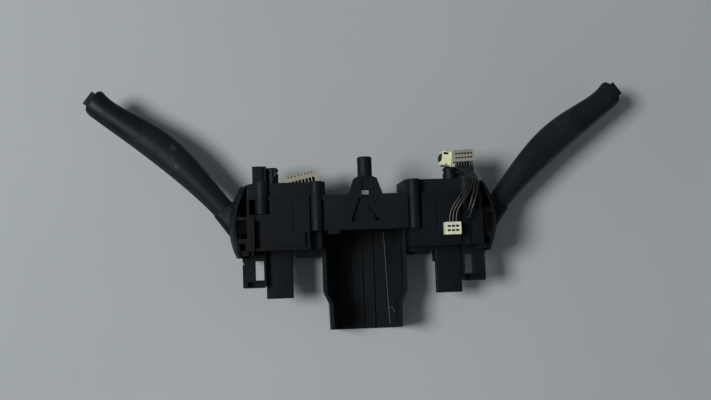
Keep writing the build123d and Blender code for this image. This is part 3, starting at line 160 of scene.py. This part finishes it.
# ---------------------------------------------------------------- materials
class Recipe:
    """A node material read from the piece's own Object coordinates."""

    def __init__(self, name, roughness, metallic=0.0, specular=0.5):
        self.material = bpy.data.materials.new(name)
        self.material.use_nodes = True
        self.tree = self.material.node_tree
        self.shader = self.tree.nodes["Principled BSDF"]
        self.shader.inputs["Roughness"].default_value = roughness
        self.shader.inputs["Metallic"].default_value = metallic
        self.shader.inputs["Specular IOR Level"].default_value = specular
        self.place = self.add("ShaderNodeTexCoord")

    def add(self, kind, **values):
        node = self.tree.nodes.new(kind)
        for key, value in values.items():
            setattr(node, key, value)
        return node

    def join(self, source, target):
        self.tree.links.new(source, target)

    def noise(self, per_metre, detail=3.0, roughness=0.55, stretch=None):
        node = self.add("ShaderNodeTexNoise")
        node.inputs["Scale"].default_value = per_metre
        node.inputs["Detail"].default_value = detail
        node.inputs["Roughness"].default_value = roughness
        source = self.place.outputs["Object"]
        if stretch:
            mapping = self.add("ShaderNodeMapping")
            mapping.inputs["Scale"].default_value = stretch
            self.join(source, mapping.inputs["Vector"])
            source = mapping.outputs["Vector"]
        self.join(source, node.inputs["Vector"])
        return node.outputs["Fac"]

    def span(self, value, low, high, to_low=0.0, to_high=1.0):
        node = self.add("ShaderNodeMapRange")
        node.inputs["From Min"].default_value = low
        node.inputs["From Max"].default_value = high
        node.inputs["To Min"].default_value = to_low
        node.inputs["To Max"].default_value = to_high
        self.join(value, node.inputs["Value"])
        return node.outputs["Result"]

    def math(self, kind, first, second):
        node = self.add("ShaderNodeMath", operation=kind)
        for socket, value in zip(node.inputs, (first, second)):
            if isinstance(value, (int, float)):
                socket.default_value = value
            else:
                self.join(value, socket)
        return node.outputs[0]

    def blend(self, share, first, second):
        node = self.add("ShaderNodeMix", data_type="RGBA")
        self.join(share, node.inputs["Factor"])
        for socket, value in ((node.inputs["A"], first), (node.inputs["B"], second)):
            if isinstance(value, tuple):
                socket.default_value = value
            else:
                self.join(value, socket)
        return node.outputs["Result"]

    def edges(self, radius):
        """Share of edge from 0 to 1, and the softened normal."""
        bevel = self.add("ShaderNodeBevel", samples=4)
        bevel.inputs["Radius"].default_value = radius
        geometry = self.add("ShaderNodeNewGeometry")
        dot = self.add("ShaderNodeVectorMath", operation="DOT_PRODUCT")
        self.join(bevel.outputs["Normal"], dot.inputs[0])
        self.join(geometry.outputs["Normal"], dot.inputs[1])
        return self.math("SUBTRACT", 1.0, dot.outputs["Value"]), bevel.outputs["Normal"]

    def facing_up(self):
        geometry = self.add("ShaderNodeNewGeometry")
        split = self.add("ShaderNodeSeparateXYZ")
        self.join(geometry.outputs["Normal"], split.inputs["Vector"])
        return split.outputs["Z"]

    def distance(self, middle):
        node = self.add("ShaderNodeVectorMath", operation="DISTANCE")
        self.join(self.place.outputs["Object"], node.inputs[0])
        node.inputs[1].default_value = middle
        return node.outputs["Value"]

    def bump(self, height, distance, normal=None):
        node = self.add("ShaderNodeBump")
        node.inputs["Distance"].default_value = distance
        self.join(height, node.inputs["Height"])
        if normal is not None:
            self.join(normal, node.inputs["Normal"])
        return node.outputs["Normal"]


# scales of the noises, in patches per metre
CLOUDS = 38
SPECKS = 260
WEAR = 420
SCRATCHES = 900
SHEEN = 120
# the part of each value that is spread from none to full
CLOUD_SPAN = (0.3, 0.7)
SPECK_SPAN = (0.45, 0.8)
UPWARD_SPAN = (0.3, 1.0)
EDGE_SPAN = (0.02, 0.25)
WEAR_SPAN = (0.4, 0.65)
SCRATCH_SPAN = (0.5, 0.58)
SCRATCH_STRETCH = (1.0, 0.35, 1.0)
DARK_CLOUD = 0.72
PALE_CLOUD = 1.35
ROUGHNESS_SWING = 0.07
SCUFF_TONE = (128, 128, 120)
# middle and reach of each scuff
STALK_SCUFFS = [
    (mm(-137.3, 39.6, 11.0), 0.0035), (mm(-138.8, 30.9, 11.0), 0.002), (mm(-135.4, 25.1, 11.0), 0.0025),
    (mm(149.5, 56.2, 11.0), 0.004), (mm(157.0, 62.0, 11.0), 0.005),
]


def shade(tone, factor):
    """Screen tone as a linear colour made darker or paler."""
    return tuple(factor * level for level in linear(*tone)[:3]) + (1.0,)


def moulded(name, tone, roughness, grain=1400, grain_depth=0.00008, dust=(66, 76, 84), dust_share=0.03,
            rubbed=(84, 88, 90), rubbed_share=0.2, edge=0.0003, specular=0.1, scuffs=()):
    """Moulded plastic with grain, cloudy tone, settled dust and rubbed edges."""
    recipe = Recipe(name, roughness, specular=specular)
    clouds = recipe.span(recipe.noise(CLOUDS, detail=4.0), *CLOUD_SPAN)
    colour = recipe.blend(clouds, shade(tone, DARK_CLOUD), shade(tone, PALE_CLOUD))
    specks = recipe.span(recipe.noise(SPECKS, detail=5.0, roughness=0.7), *SPECK_SPAN)
    upward = recipe.span(recipe.facing_up(), *UPWARD_SPAN)
    settled = recipe.math("MULTIPLY", recipe.math("MULTIPLY", specks, upward), dust_share)
    colour = recipe.blend(settled, colour, linear(*dust))
    edge_share, soft_normal = recipe.edges(edge)
    worn = recipe.math("MULTIPLY", recipe.span(edge_share, *EDGE_SPAN),
                       recipe.span(recipe.noise(WEAR, detail=4.0), *WEAR_SPAN, to_high=rubbed_share))
    colour = recipe.blend(worn, colour, linear(*rubbed))
    for middle, reach in scuffs:
        lines = recipe.noise(SCRATCHES, detail=5.0, roughness=0.75, stretch=SCRATCH_STRETCH)
        scratched = recipe.span(lines, *SCRATCH_SPAN)
        share = recipe.math("MULTIPLY", scratched, recipe.span(recipe.distance(middle), reach, 0.0))
        colour = recipe.blend(share, colour, linear(*SCUFF_TONE))
    recipe.join(colour, recipe.shader.inputs["Base Color"])
    rough = recipe.span(recipe.noise(SHEEN), *CLOUD_SPAN,
                        roughness - ROUGHNESS_SWING, roughness + ROUGHNESS_SWING)
    recipe.join(rough, recipe.shader.inputs["Roughness"])
    grained = recipe.bump(recipe.noise(grain, detail=2.0), grain_depth, soft_normal)
    recipe.join(grained, recipe.shader.inputs["Normal"])
    return recipe.material


METAL_STREAKS = 900
METAL_STRETCH = (1, 1, 8)
METAL_EDGE = 0.0002
METAL_STREAK_DEPTH = 0.00003
METAL_DARK = 0.75
METAL_SMOOTHER = 0.08
METAL_ROUGHER = 0.1


def metal(name, tone, roughness):
    """Worked metal with fine drawn streaks."""
    recipe = Recipe(name, roughness, metallic=1.0)
    lines = recipe.noise(METAL_STREAKS, stretch=METAL_STRETCH)
    colour = recipe.blend(lines, shade(tone, METAL_DARK), linear(*tone))
    recipe.join(colour, recipe.shader.inputs["Base Color"])
    rough = recipe.span(lines, *CLOUD_SPAN, roughness - METAL_SMOOTHER, roughness + METAL_ROUGHER)
    recipe.join(rough, recipe.shader.inputs["Roughness"])
    soft_normal = recipe.edges(METAL_EDGE)[1]
    recipe.join(recipe.bump(lines, METAL_STREAK_DEPTH, soft_normal), recipe.shader.inputs["Normal"])
    return recipe.material


JACKET_CLOUDS = 300
JACKET_SPAN = (0.35, 0.7)
JACKET_GRAIN = 1500
JACKET_GRAIN_DEPTH = 0.00002
JACKET_SHEEN = 1.8
JACKET_DUST = 0.01


def jacket(name, tone):
    """Vinyl lead jacket with a faint dusty sheen."""
    recipe = Recipe(name, 0.34, specular=0.4)
    cloud = recipe.span(recipe.noise(JACKET_CLOUDS), *JACKET_SPAN)
    pale = tuple(min(1.0, JACKET_SHEEN * level + JACKET_DUST) for level in linear(*tone)[:3]) + (1.0,)
    recipe.join(recipe.blend(cloud, linear(*tone), pale), recipe.shader.inputs["Base Color"])
    grained = recipe.bump(recipe.noise(JACKET_GRAIN, detail=2.0), JACKET_GRAIN_DEPTH)
    recipe.join(grained, recipe.shader.inputs["Normal"])
    return recipe.material


FINISHES = {
    "housing_black": moulded("housing moulding", (16, 20, 23), 0.55),
    "case_black": moulded("case moulding", (12, 16, 20), 0.52),
    "plug_black": moulded("plug moulding", (15, 19, 23), 0.5),
    "stalk_black": moulded("stalk moulding", (22, 27, 32), 0.45, grain=1900, grain_depth=0.00005,
                           rubbed_share=0.1, scuffs=STALK_SCUFFS),
    "inlay_black": moulded("inlay moulding", (19, 23, 28), 0.4, grain=2200, grain_depth=0.00003,
                           rubbed_share=0.1),
    "button_black": moulded("button moulding", (18, 22, 26), 0.45),
    "white_nylon": moulded("white nylon", (214, 216, 194), 0.42, dust=(150, 140, 120), dust_share=0.25,
                           rubbed=(245, 244, 238), specular=0.5),
    "cream_nylon": moulded("cream nylon", (210, 212, 178), 0.45, dust=(140, 128, 104), dust_share=0.3,
                           rubbed=(235, 230, 212), specular=0.5),
    "grey_nylon": moulded("grey nylon", (134, 135, 126), 0.45, dust=(110, 104, 94), dust_share=0.3,
                          rubbed=(190, 192, 190), specular=0.5),
    "greige_nylon": moulded("greige nylon", (142, 138, 127), 0.48, dust=(96, 88, 74), dust_share=0.3,
                            rubbed=(178, 174, 162), specular=0.5),
    # the acetal parts are darkened well below their natural white: painted shade where they sit inside the
    # shields
    "natural_acetal": moulded("shade darkened acetal", (58, 56, 52), 0.32, dust_share=0.05, rubbed=(90, 88, 82),
                              specular=0.3),
    "board_green": moulded("board laminate", (46, 92, 62), 0.35, dust_share=0.05, rubbed=(170, 150, 110)),
    "lead_dark": jacket("dark lead jacket", (15, 16, 18)),
    "pin_brass": metal("pin brass", (206, 176, 112), 0.3),
    "zinc_screw": metal("zinc plated steel", (178, 178, 172), 0.38),
    "spring_steel": metal("spring steel", (150, 150, 150), 0.35),
}

for node, thing in frame["nodes"].items():
    thing.data.materials.clear()
    thing.data.materials.append(FINISHES[SLOT_OF[node]])
for piece in leads.values():
    piece.data.materials.append(FINISHES["lead_dark"])


# ---------------------------------------------------------------- shaping tools
MERGE_DISTANCE = 2e-6
SHARP_TURN = 32


def finished_mesh(thing):
    """The thing's shape with its modifiers worked in, as a plain mesh."""
    mesh = bpy.data.meshes.new_from_object(thing.evaluated_get(bpy.context.evaluated_depsgraph_get()))
    thing.modifiers.clear()
    return mesh


def block_mesh(name, low, high):
    """Box between two corners in millimetres."""
    shape = bmesh.new()
    bmesh.ops.create_cube(shape, size=1.0)
    for corner in shape.verts:
        corner.co = mm(*[a if c < 0 else b for c, a, b in zip(corner.co, low, high)])
    mesh = bpy.data.meshes.new(name)
    shape.to_mesh(mesh)
    shape.free()
    return mesh


def loose(name, mesh):
    """The mesh as an object of its own at the origin."""
    thing = bpy.data.objects.new(name, mesh)
    bpy.context.scene.collection.objects.link(thing)
    return thing


def rounded_shading(mesh, angle=SHARP_TURN):
    """Smooth faces with sharp edges where the surface turns by more than the angle."""
    shape = bmesh.new()
    shape.from_mesh(mesh)
    bmesh.ops.remove_doubles(shape, verts=shape.verts, dist=MERGE_DISTANCE)
    limit = math.radians(angle)
    for face in shape.faces:
        face.smooth = True
    for edge in shape.edges:
        edge.smooth = len(edge.link_faces) == 2 and edge.calc_face_angle(math.pi) <= limit
    shape.to_mesh(mesh)
    shape.free()


def carved(name, mesh, cutters):
    """The mesh with every cutter mesh taken out of it."""
    thing = loose(name, mesh)
    tools = [loose(name + "_cutter", cutter) for cutter in cutters]
    for tool in tools:
        cut = thing.modifiers.new("cut", "BOOLEAN")
        cut.operation = "DIFFERENCE"
        cut.solver = "EXACT"
        cut.material_mode = "TRANSFER"
        cut.object = tool
    result = finished_mesh(thing)
    for spare in [thing, *tools]:
        bpy.data.objects.remove(spare)
    return result


def window_tree():
    """Geometry Nodes: rectangular contact windows on a grid."""
    tree = bpy.data.node_groups.new("contact windows", "GeometryNodeTree")
    sides = tree.interface
    inputs = {}
    for title, kind in (("Columns", "NodeSocketInt"), ("Rows", "NodeSocketInt"),
                        ("Column Pitch", "NodeSocketFloat"), ("Row Pitch", "NodeSocketFloat"),
                        ("Window Size", "NodeSocketVector"), ("Finish", "NodeSocketMaterial")):
        inputs[title] = sides.new_socket(title, in_out="INPUT", socket_type=kind).identifier
    sides.new_socket("Geometry", in_out="OUTPUT", socket_type="NodeSocketGeometry")
    add = tree.nodes.new
    join = tree.links.new
    entry = add("NodeGroupInput")
    leave = add("NodeGroupOutput")
    grid = add("GeometryNodeMeshGrid")
    cube = add("GeometryNodeMeshCube")
    put = add("GeometryNodeInstanceOnPoints")
    real = add("GeometryNodeRealizeInstances")
    paint = add("GeometryNodeSetMaterial")
    for count, pitch, number, length in (("Columns", "Column Pitch", "Vertices X", "Size X"),
                                         ("Rows", "Row Pitch", "Vertices Y", "Size Y")):
        less = add("ShaderNodeMath")
        less.operation = "SUBTRACT"
        less.inputs[1].default_value = 1.0
        times = add("ShaderNodeMath")
        times.operation = "MULTIPLY"
        join(entry.outputs[count], less.inputs[0])
        join(less.outputs[0], times.inputs[0])
        join(entry.outputs[pitch], times.inputs[1])
        join(entry.outputs[count], grid.inputs[number])
        join(times.outputs[0], grid.inputs[length])
    join(entry.outputs["Window Size"], cube.inputs["Size"])
    join(grid.outputs["Mesh"], put.inputs["Points"])
    join(cube.outputs["Mesh"], put.inputs["Instance"])
    join(put.outputs["Instances"], real.inputs["Geometry"])
    join(real.outputs["Geometry"], paint.inputs["Geometry"])
    join(entry.outputs["Finish"], paint.inputs["Material"])
    join(paint.outputs["Geometry"], leave.inputs["Geometry"])
    return tree, inputs


WINDOWS, WINDOW_INPUTS = window_tree()


def contact_windows(node, columns, rows, pitch, size, offset=(0.0, 0.0), turn=0.0):
    """Cutter for the windows in a connector's top face, leaving painted shade on their walls; sizes in
    millimetres.
    """
    low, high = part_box(node)
    thing = loose(node + "_windows", bpy.data.meshes.new(node + "_windows"))
    maker = thing.modifiers.new("windows", "NODES")
    maker.node_group = WINDOWS
    for title, value in (("Columns", columns), ("Rows", rows), ("Column Pitch", pitch[0] / 1000),
                         ("Row Pitch", pitch[1] / 1000), ("Window Size", mm(*size)), ("Finish", PAINTED_SHADE_FINISH)):
        maker[WINDOW_INPUTS[title]] = value
    mesh = finished_mesh(thing)
    bpy.data.objects.remove(thing)
    middle = Vector([(low[0] + high[0]) / 2, (low[1] + high[1]) / 2, high[2]])
    mesh.transform(Matrix.Translation(middle) @ Matrix.Rotation(math.radians(turn), 4, "Z")
                   @ Matrix.Translation(mm(*offset, 0.0)))
    return mesh


# ---------------------------------------------------------------- what the pieces lose
# near-black finish that the cutters leave on the walls of hollows, slots and wedges: painted shade in the
# recesses
PAINTED_SHADE_FINISH = moulded("painted shade in hollows", (9, 9, 10), 0.8, dust_share=0.0, rubbed_share=0.0, specular=0.05)
# under each leg of the right-hand case everything goes, up to the plate that stays
LEG_SIDES_X = (50.0, 72.6, 92.0)
LEG_TIP_Y = -80.0
LEG_ROOT_Y = -38.05
LEG_UNDER_Z = -27.0
SHROUD_PLATE_Z = -0.6
FRAME_PLATE_Z = 2.2
LEG_CUTS = [
    ((LEG_SIDES_X[0], LEG_TIP_Y, LEG_UNDER_Z), (LEG_SIDES_X[1], LEG_ROOT_Y, SHROUD_PLATE_Z)),
    ((LEG_SIDES_X[1], LEG_TIP_Y, LEG_UNDER_Z), (LEG_SIDES_X[2], LEG_ROOT_Y, FRAME_PLATE_Z)),
]


def mirrored(low, high):
    """Corners of the same box on the other side of x = 0."""
    return (-high[0], low[1], low[2]), (-low[0], high[1], high[2])


def plan_prism(name, outline, low, high, finish=None):
    """Upright prism over a plan outline in millimetres."""
    shape = bmesh.new()
    base = shape.faces.new([shape.verts.new(mm(x, y, low)) for x, y in outline])
    raised = bmesh.ops.extrude_face_region(shape, geom=[base])
    for part in raised["geom"]:
        if isinstance(part, bmesh.types.BMVert):
            part.co.z = high / 1000
    bmesh.ops.recalc_face_normals(shape, faces=shape.faces)
    mesh = bpy.data.meshes.new(name)
    shape.to_mesh(mesh)
    shape.free()
    if finish:
        mesh.materials.append(finish)
    return mesh


# shallow wedges cut into the housing's roof; their walls take the painted-shade finish
ROOF_WEDGES = [
    [(-5.0, -2.7), (-11.0, -19.0), (-8.4, -19.6), (-2.4, -11.6), (1.2, -6.4), (1.4, -2.7)],
    [(5.4, -2.8), (10.3, -18.8), (7.2, -19.2), (3.2, -9.6)],
]
ROOF_Z = 31.0
WEDGE_Z = (ROOF_Z - 1.9, ROOF_Z + 1.0)
# slot through the left cover; its walls take the painted-shade finish
COVER_SLOT = [(-79.1, -36.4), (-74.9, -36.4), (-74.9, -17.0), (-79.1, -17.0)]
COVER_SLOT_Z = (24.6, 30.0)
GREY_TURN = 2.2
TILTED_TURN = 12.0
# size and offset of the tilted connector's two rows: the long windows and the small ones behind them
TILTED_ROWS = [((1.8, 5.2, 7.0), (0.0, -1.5)), ((1.3, 0.9, 7.0), (0.0, 4.5))]
CUTS = {
    "carrier_housing": [plan_prism("roof_wedge", wedge, *WEDGE_Z, PAINTED_SHADE_FINISH) for wedge in ROOF_WEDGES],
    "case_cover_left": [plan_prism("cover_slot", COVER_SLOT, *COVER_SLOT_Z, PAINTED_SHADE_FINISH)],
    "switch_case_right": [block_mesh("leg_cut", *ends) for ends in LEG_CUTS],
    "switch_case_left": [block_mesh("leg_cut", *mirrored(*ends)) for ends in LEG_CUTS],
    "white_connector": [
        contact_windows("white_connector", columns=3, rows=2, pitch=(2.96, 3.0), size=(2.3, 1.35, 8.0)),
    ],
    "grey_connector": [
        contact_windows("grey_connector", columns=6, rows=2, pitch=(2.2, 3.0), size=(1.5, 1.15, 8.0),
                        turn=GREY_TURN),
    ],
    "tilted_connector": [
        contact_windows("tilted_connector", columns=8, rows=1, pitch=(2.5, 1.0), size=size, offset=offset,
                        turn=TILTED_TURN)
        for size, offset in TILTED_ROWS
    ],
}


# ---------------------------------------------------------------- moulded pieces
def on_body(piece, body):
    """The piece carried by a moving body."""
    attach(piece, body)
    return piece


def smoothed(node):
    """The node's own shape with joined corners, its openings and rounded shading."""
    shape = bmesh.new()
    shape.from_mesh(frame["nodes"][node].data)
    bmesh.ops.remove_doubles(shape, verts=shape.verts, dist=MERGE_DISTANCE)
    mesh = bpy.data.meshes.new(node + "_surface")
    shape.to_mesh(mesh)
    shape.free()
    mesh.materials.append(FINISHES[SLOT_OF[node]])
    if node in CUTS:
        mesh = carved(node, mesh, CUTS[node])
    rounded_shading(mesh)
    piece = on_body(loose(node + "_surface", mesh), BODY_OF[node])
    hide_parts(node)
    return piece


for node in frame["nodes"]:
    if node not in leads:
        smoothed(node)


# corners of the right-hand header's shroud and of its mouth
SHROUD_OUTER = ((54.8, -50.0, -21.4), (70.8, -37.9, -9.6))
SHROUD_MOUTH = ((55.8, -51.0, -20.4), (69.8, -36.0, -10.6))


def header_shroud(side, name):
    """Short open shroud round the header's pins."""
    outer, inner = SHROUD_OUTER, SHROUD_MOUTH
    if side < 0:
        outer, inner = mirrored(*outer), mirrored(*inner)
    body = block_mesh(name, *outer)
    body.materials.append(FINISHES["case_black"])
    mesh = carved(name, body, [block_mesh(name + "_mouth", *inner)])
    rounded_shading(mesh)
    on_body(loose(name, mesh), "carrier")


header_shroud(1, "header_shroud_right")
header_shroud(-1, "header_shroud_left")


SOFT_EDGE = 0.0002


def added(name, mesh, slot_name="case_black"):
    """A further moulded detail of the carrier with softened edges."""
    mesh.materials.clear()
    mesh.materials.append(FINISHES[slot_name])
    thing = loose(name, mesh)
    soften = thing.modifiers.new("soften", "BEVEL")
    soften.width = SOFT_EDGE
    soften.segments = 2
    finished = finished_mesh(thing)
    thing.data = finished
    rounded_shading(finished)
    on_body(thing, "carrier")


PIVOT = (45.5, -20.0, 2.0)
# height, reach and steps of the dark sheets that stand in for the shade in the shields' gaps
SHADE_SHEET_Z = (-17.0, -16.0)
SHADE_SHEET_REACH = 51.25
SHADE_SHEET_STEPS = 24
CASE_SIDE_X = 84.6


def shade_sheet(side, name):
    """Thin dark sheet inside the ball of the shield, between the case and the shield's sweep; it stands in
    for the shade in the shield's gap.
    """
    across = math.sqrt(SHADE_SHEET_REACH ** 2 - (SHADE_SHEET_Z[0] - PIVOT[2]) ** 2)
    half_angle = math.acos((CASE_SIDE_X - PIVOT[0]) / across)
    outline = []
    for step in range(SHADE_SHEET_STEPS + 1):
        angle = -half_angle + 2 * half_angle * step / SHADE_SHEET_STEPS
        outline.append((side * (PIVOT[0] + across * math.cos(angle)), PIVOT[1] + across * math.sin(angle)))
    added(name, plan_prism(name, outline, *SHADE_SHEET_Z))


shade_sheet(1, "shade_sheet_right")
shade_sheet(-1, "shade_sheet_left")


CAP_SIDES = 48
CAP_ROLL = 1.2
CAP_SHOULDER = 0.35


def round_cap(name, middle, radius, low, high):
    """Round cap with a rolled top edge."""
    shape = bmesh.new()
    rings = [(radius, low), (radius, high - CAP_ROLL),
             (radius - CAP_SHOULDER, high - CAP_SHOULDER), (radius - CAP_ROLL, high)]
    loops = []
    for reach, z in rings:
        loop = []
        for k in range(CAP_SIDES):
            x = middle[0] + reach * math.cos(2 * math.pi * k / CAP_SIDES)
            y = middle[1] + reach * math.sin(2 * math.pi * k / CAP_SIDES)
            loop.append(shape.verts.new(mm(x, y, z)))
        loops.append(loop)
    for lower, upper in zip(loops, loops[1:]):
        for k in range(CAP_SIDES):
            after = (k + 1) % CAP_SIDES
            shape.faces.new([lower[k], lower[after], upper[after], upper[k]])
    shape.faces.new(list(reversed(loops[0])))
    shape.faces.new(loops[-1])
    bmesh.ops.recalc_face_normals(shape, faces=shape.faces)
    mesh = bpy.data.meshes.new(name)
    shape.to_mesh(mesh)
    shape.free()
    mesh.materials.append(FINISHES["plug_black"])
    rounded_shading(mesh)
    on_body(loose(name, mesh), "carrier")


round_cap("coupling_cap", middle=(62.6, 26.5), radius=5.0, low=4.0, high=16.2)

# opposite corners of the plain blocks, and the slot of each
BLOCKS = {
    "cream_latch": ((65.3, 21.6, 7.0), (66.5, 28.6, 16.4), "cream_nylon"),
    "slot_floor_left": ((-79.3, -36.6, 22.6), (-74.7, -16.8, 23.6), "case_black"),
    "plug_web": ((-71.4, -0.4, 1.0), (-68.6, 22.2, 11.5), "plug_black"),
}
for name, (low, high, slot_name) in BLOCKS.items():
    added(name, block_mesh(name, low, high), slot_name)

# pale beads on the carrier: painted highlights along the saddle's ridge, on its curl and on the plug's
# clip
PAINTED_GLINT = moulded("painted glint bead", (66, 70, 72), 0.4, dust_share=0.0, specular=0.3)
BEAD_SHARP_TURN = 60
SADDLE_GLINT_LINE = [(17.6, -26.5, -22.6), (18.4, -52.0, -22.4), (19.2, -78.0, -21.7), (20.0, -97.0, -20.6)]
SADDLE_CURL_GLINT = [(19.6, -84.4, -20.8), (21.0, -83.8, -19.0), (22.4, -84.6, -17.2), (23.2, -87.4, -16.0)]
PLUG_CLIP_GLINT = [(-66.0, 16.4, 12.6), (-64.6, 15.8, 14.6), (-63.6, 17.2, 15.4), (-64.4, 20.4, 14.2)]


def bead(name, points, radius):
    """Fine rounded bead on the carrier in the pale painted-highlight finish, along a line in millimetres.
    """
    thing = loose(name + "_line", smooth_line(name, points, bevel=radius / 1000, rounding=2, steps=12))
    mesh = finished_mesh(thing)
    bpy.data.objects.remove(thing)
    mesh.materials.append(PAINTED_GLINT)
    rounded_shading(mesh, BEAD_SHARP_TURN)
    on_body(loose(name, mesh), "carrier")


bead("saddle_glint_line", SADDLE_GLINT_LINE, 0.3)
bead("saddle_curl_glint", SADDLE_CURL_GLINT, 0.3)
bead("plug_clip_glint", PLUG_CLIP_GLINT, 0.35)

# ---------------------------------------------------------------- floor and light
FLOOR_Z = cad_low[2]
FLOOR_HALF = 3.0
# slow clouds between two floor tones: painted unevenness of the light over the board
FLOOR_SHADE_CLOUDS = 2.2
FLOOR_TONES = ((158, 164, 167), (167, 173, 175))


def floor():
    """Pale board that the part lies on."""
    mesh = bpy.data.meshes.new("floor")
    signs = ((-1, -1), (1, -1), (1, 1), (-1, 1))
    mesh.from_pydata([(x * FLOOR_HALF, y * FLOOR_HALF, FLOOR_Z) for x, y in signs], [], [(0, 1, 2, 3)])
    recipe = Recipe("pale board", 0.8, specular=0.2)
    cloud = recipe.span(recipe.noise(FLOOR_SHADE_CLOUDS, detail=4.0), *CLOUD_SPAN)
    darker, paler = [linear(*tone) for tone in FLOOR_TONES]
    recipe.join(recipe.blend(cloud, darker, paler), recipe.shader.inputs["Base Color"])
    mesh.materials.append(recipe.material)
    board = bpy.data.objects.new("floor", mesh)
    bpy.context.scene.collection.objects.link(board)


floor()


def lamp(name, place, size, power, tint):
    """Round lamp that shines at the origin."""
    data = bpy.data.lights.new(name, "AREA")
    data.shape = "DISK"
    data.size = size
    data.energy = power
    data.color = tint
    thing = bpy.data.objects.new(name, data)
    thing.location = place
    thing.rotation_euler = (-Vector(place)).to_track_quat("-Z", "Y").to_euler()
    bpy.context.scene.collection.objects.link(thing)


lamp("window", place=(-1.88, 0.15, 2.36), size=1.05, power=84.0, tint=(1.0, 0.99, 0.97))

AIR_TINT = (0.86, 0.93, 1.0, 1.0)
AIR_STRENGTH = 0.18
world = bpy.data.worlds.new("room air")
world.use_nodes = True
air = world.node_tree.nodes["Background"]
air.inputs["Color"].default_value = AIR_TINT
air.inputs["Strength"].default_value = AIR_STRENGTH
bpy.context.scene.world = world
bpy.context.scene.view_settings.view_transform = "Standard"
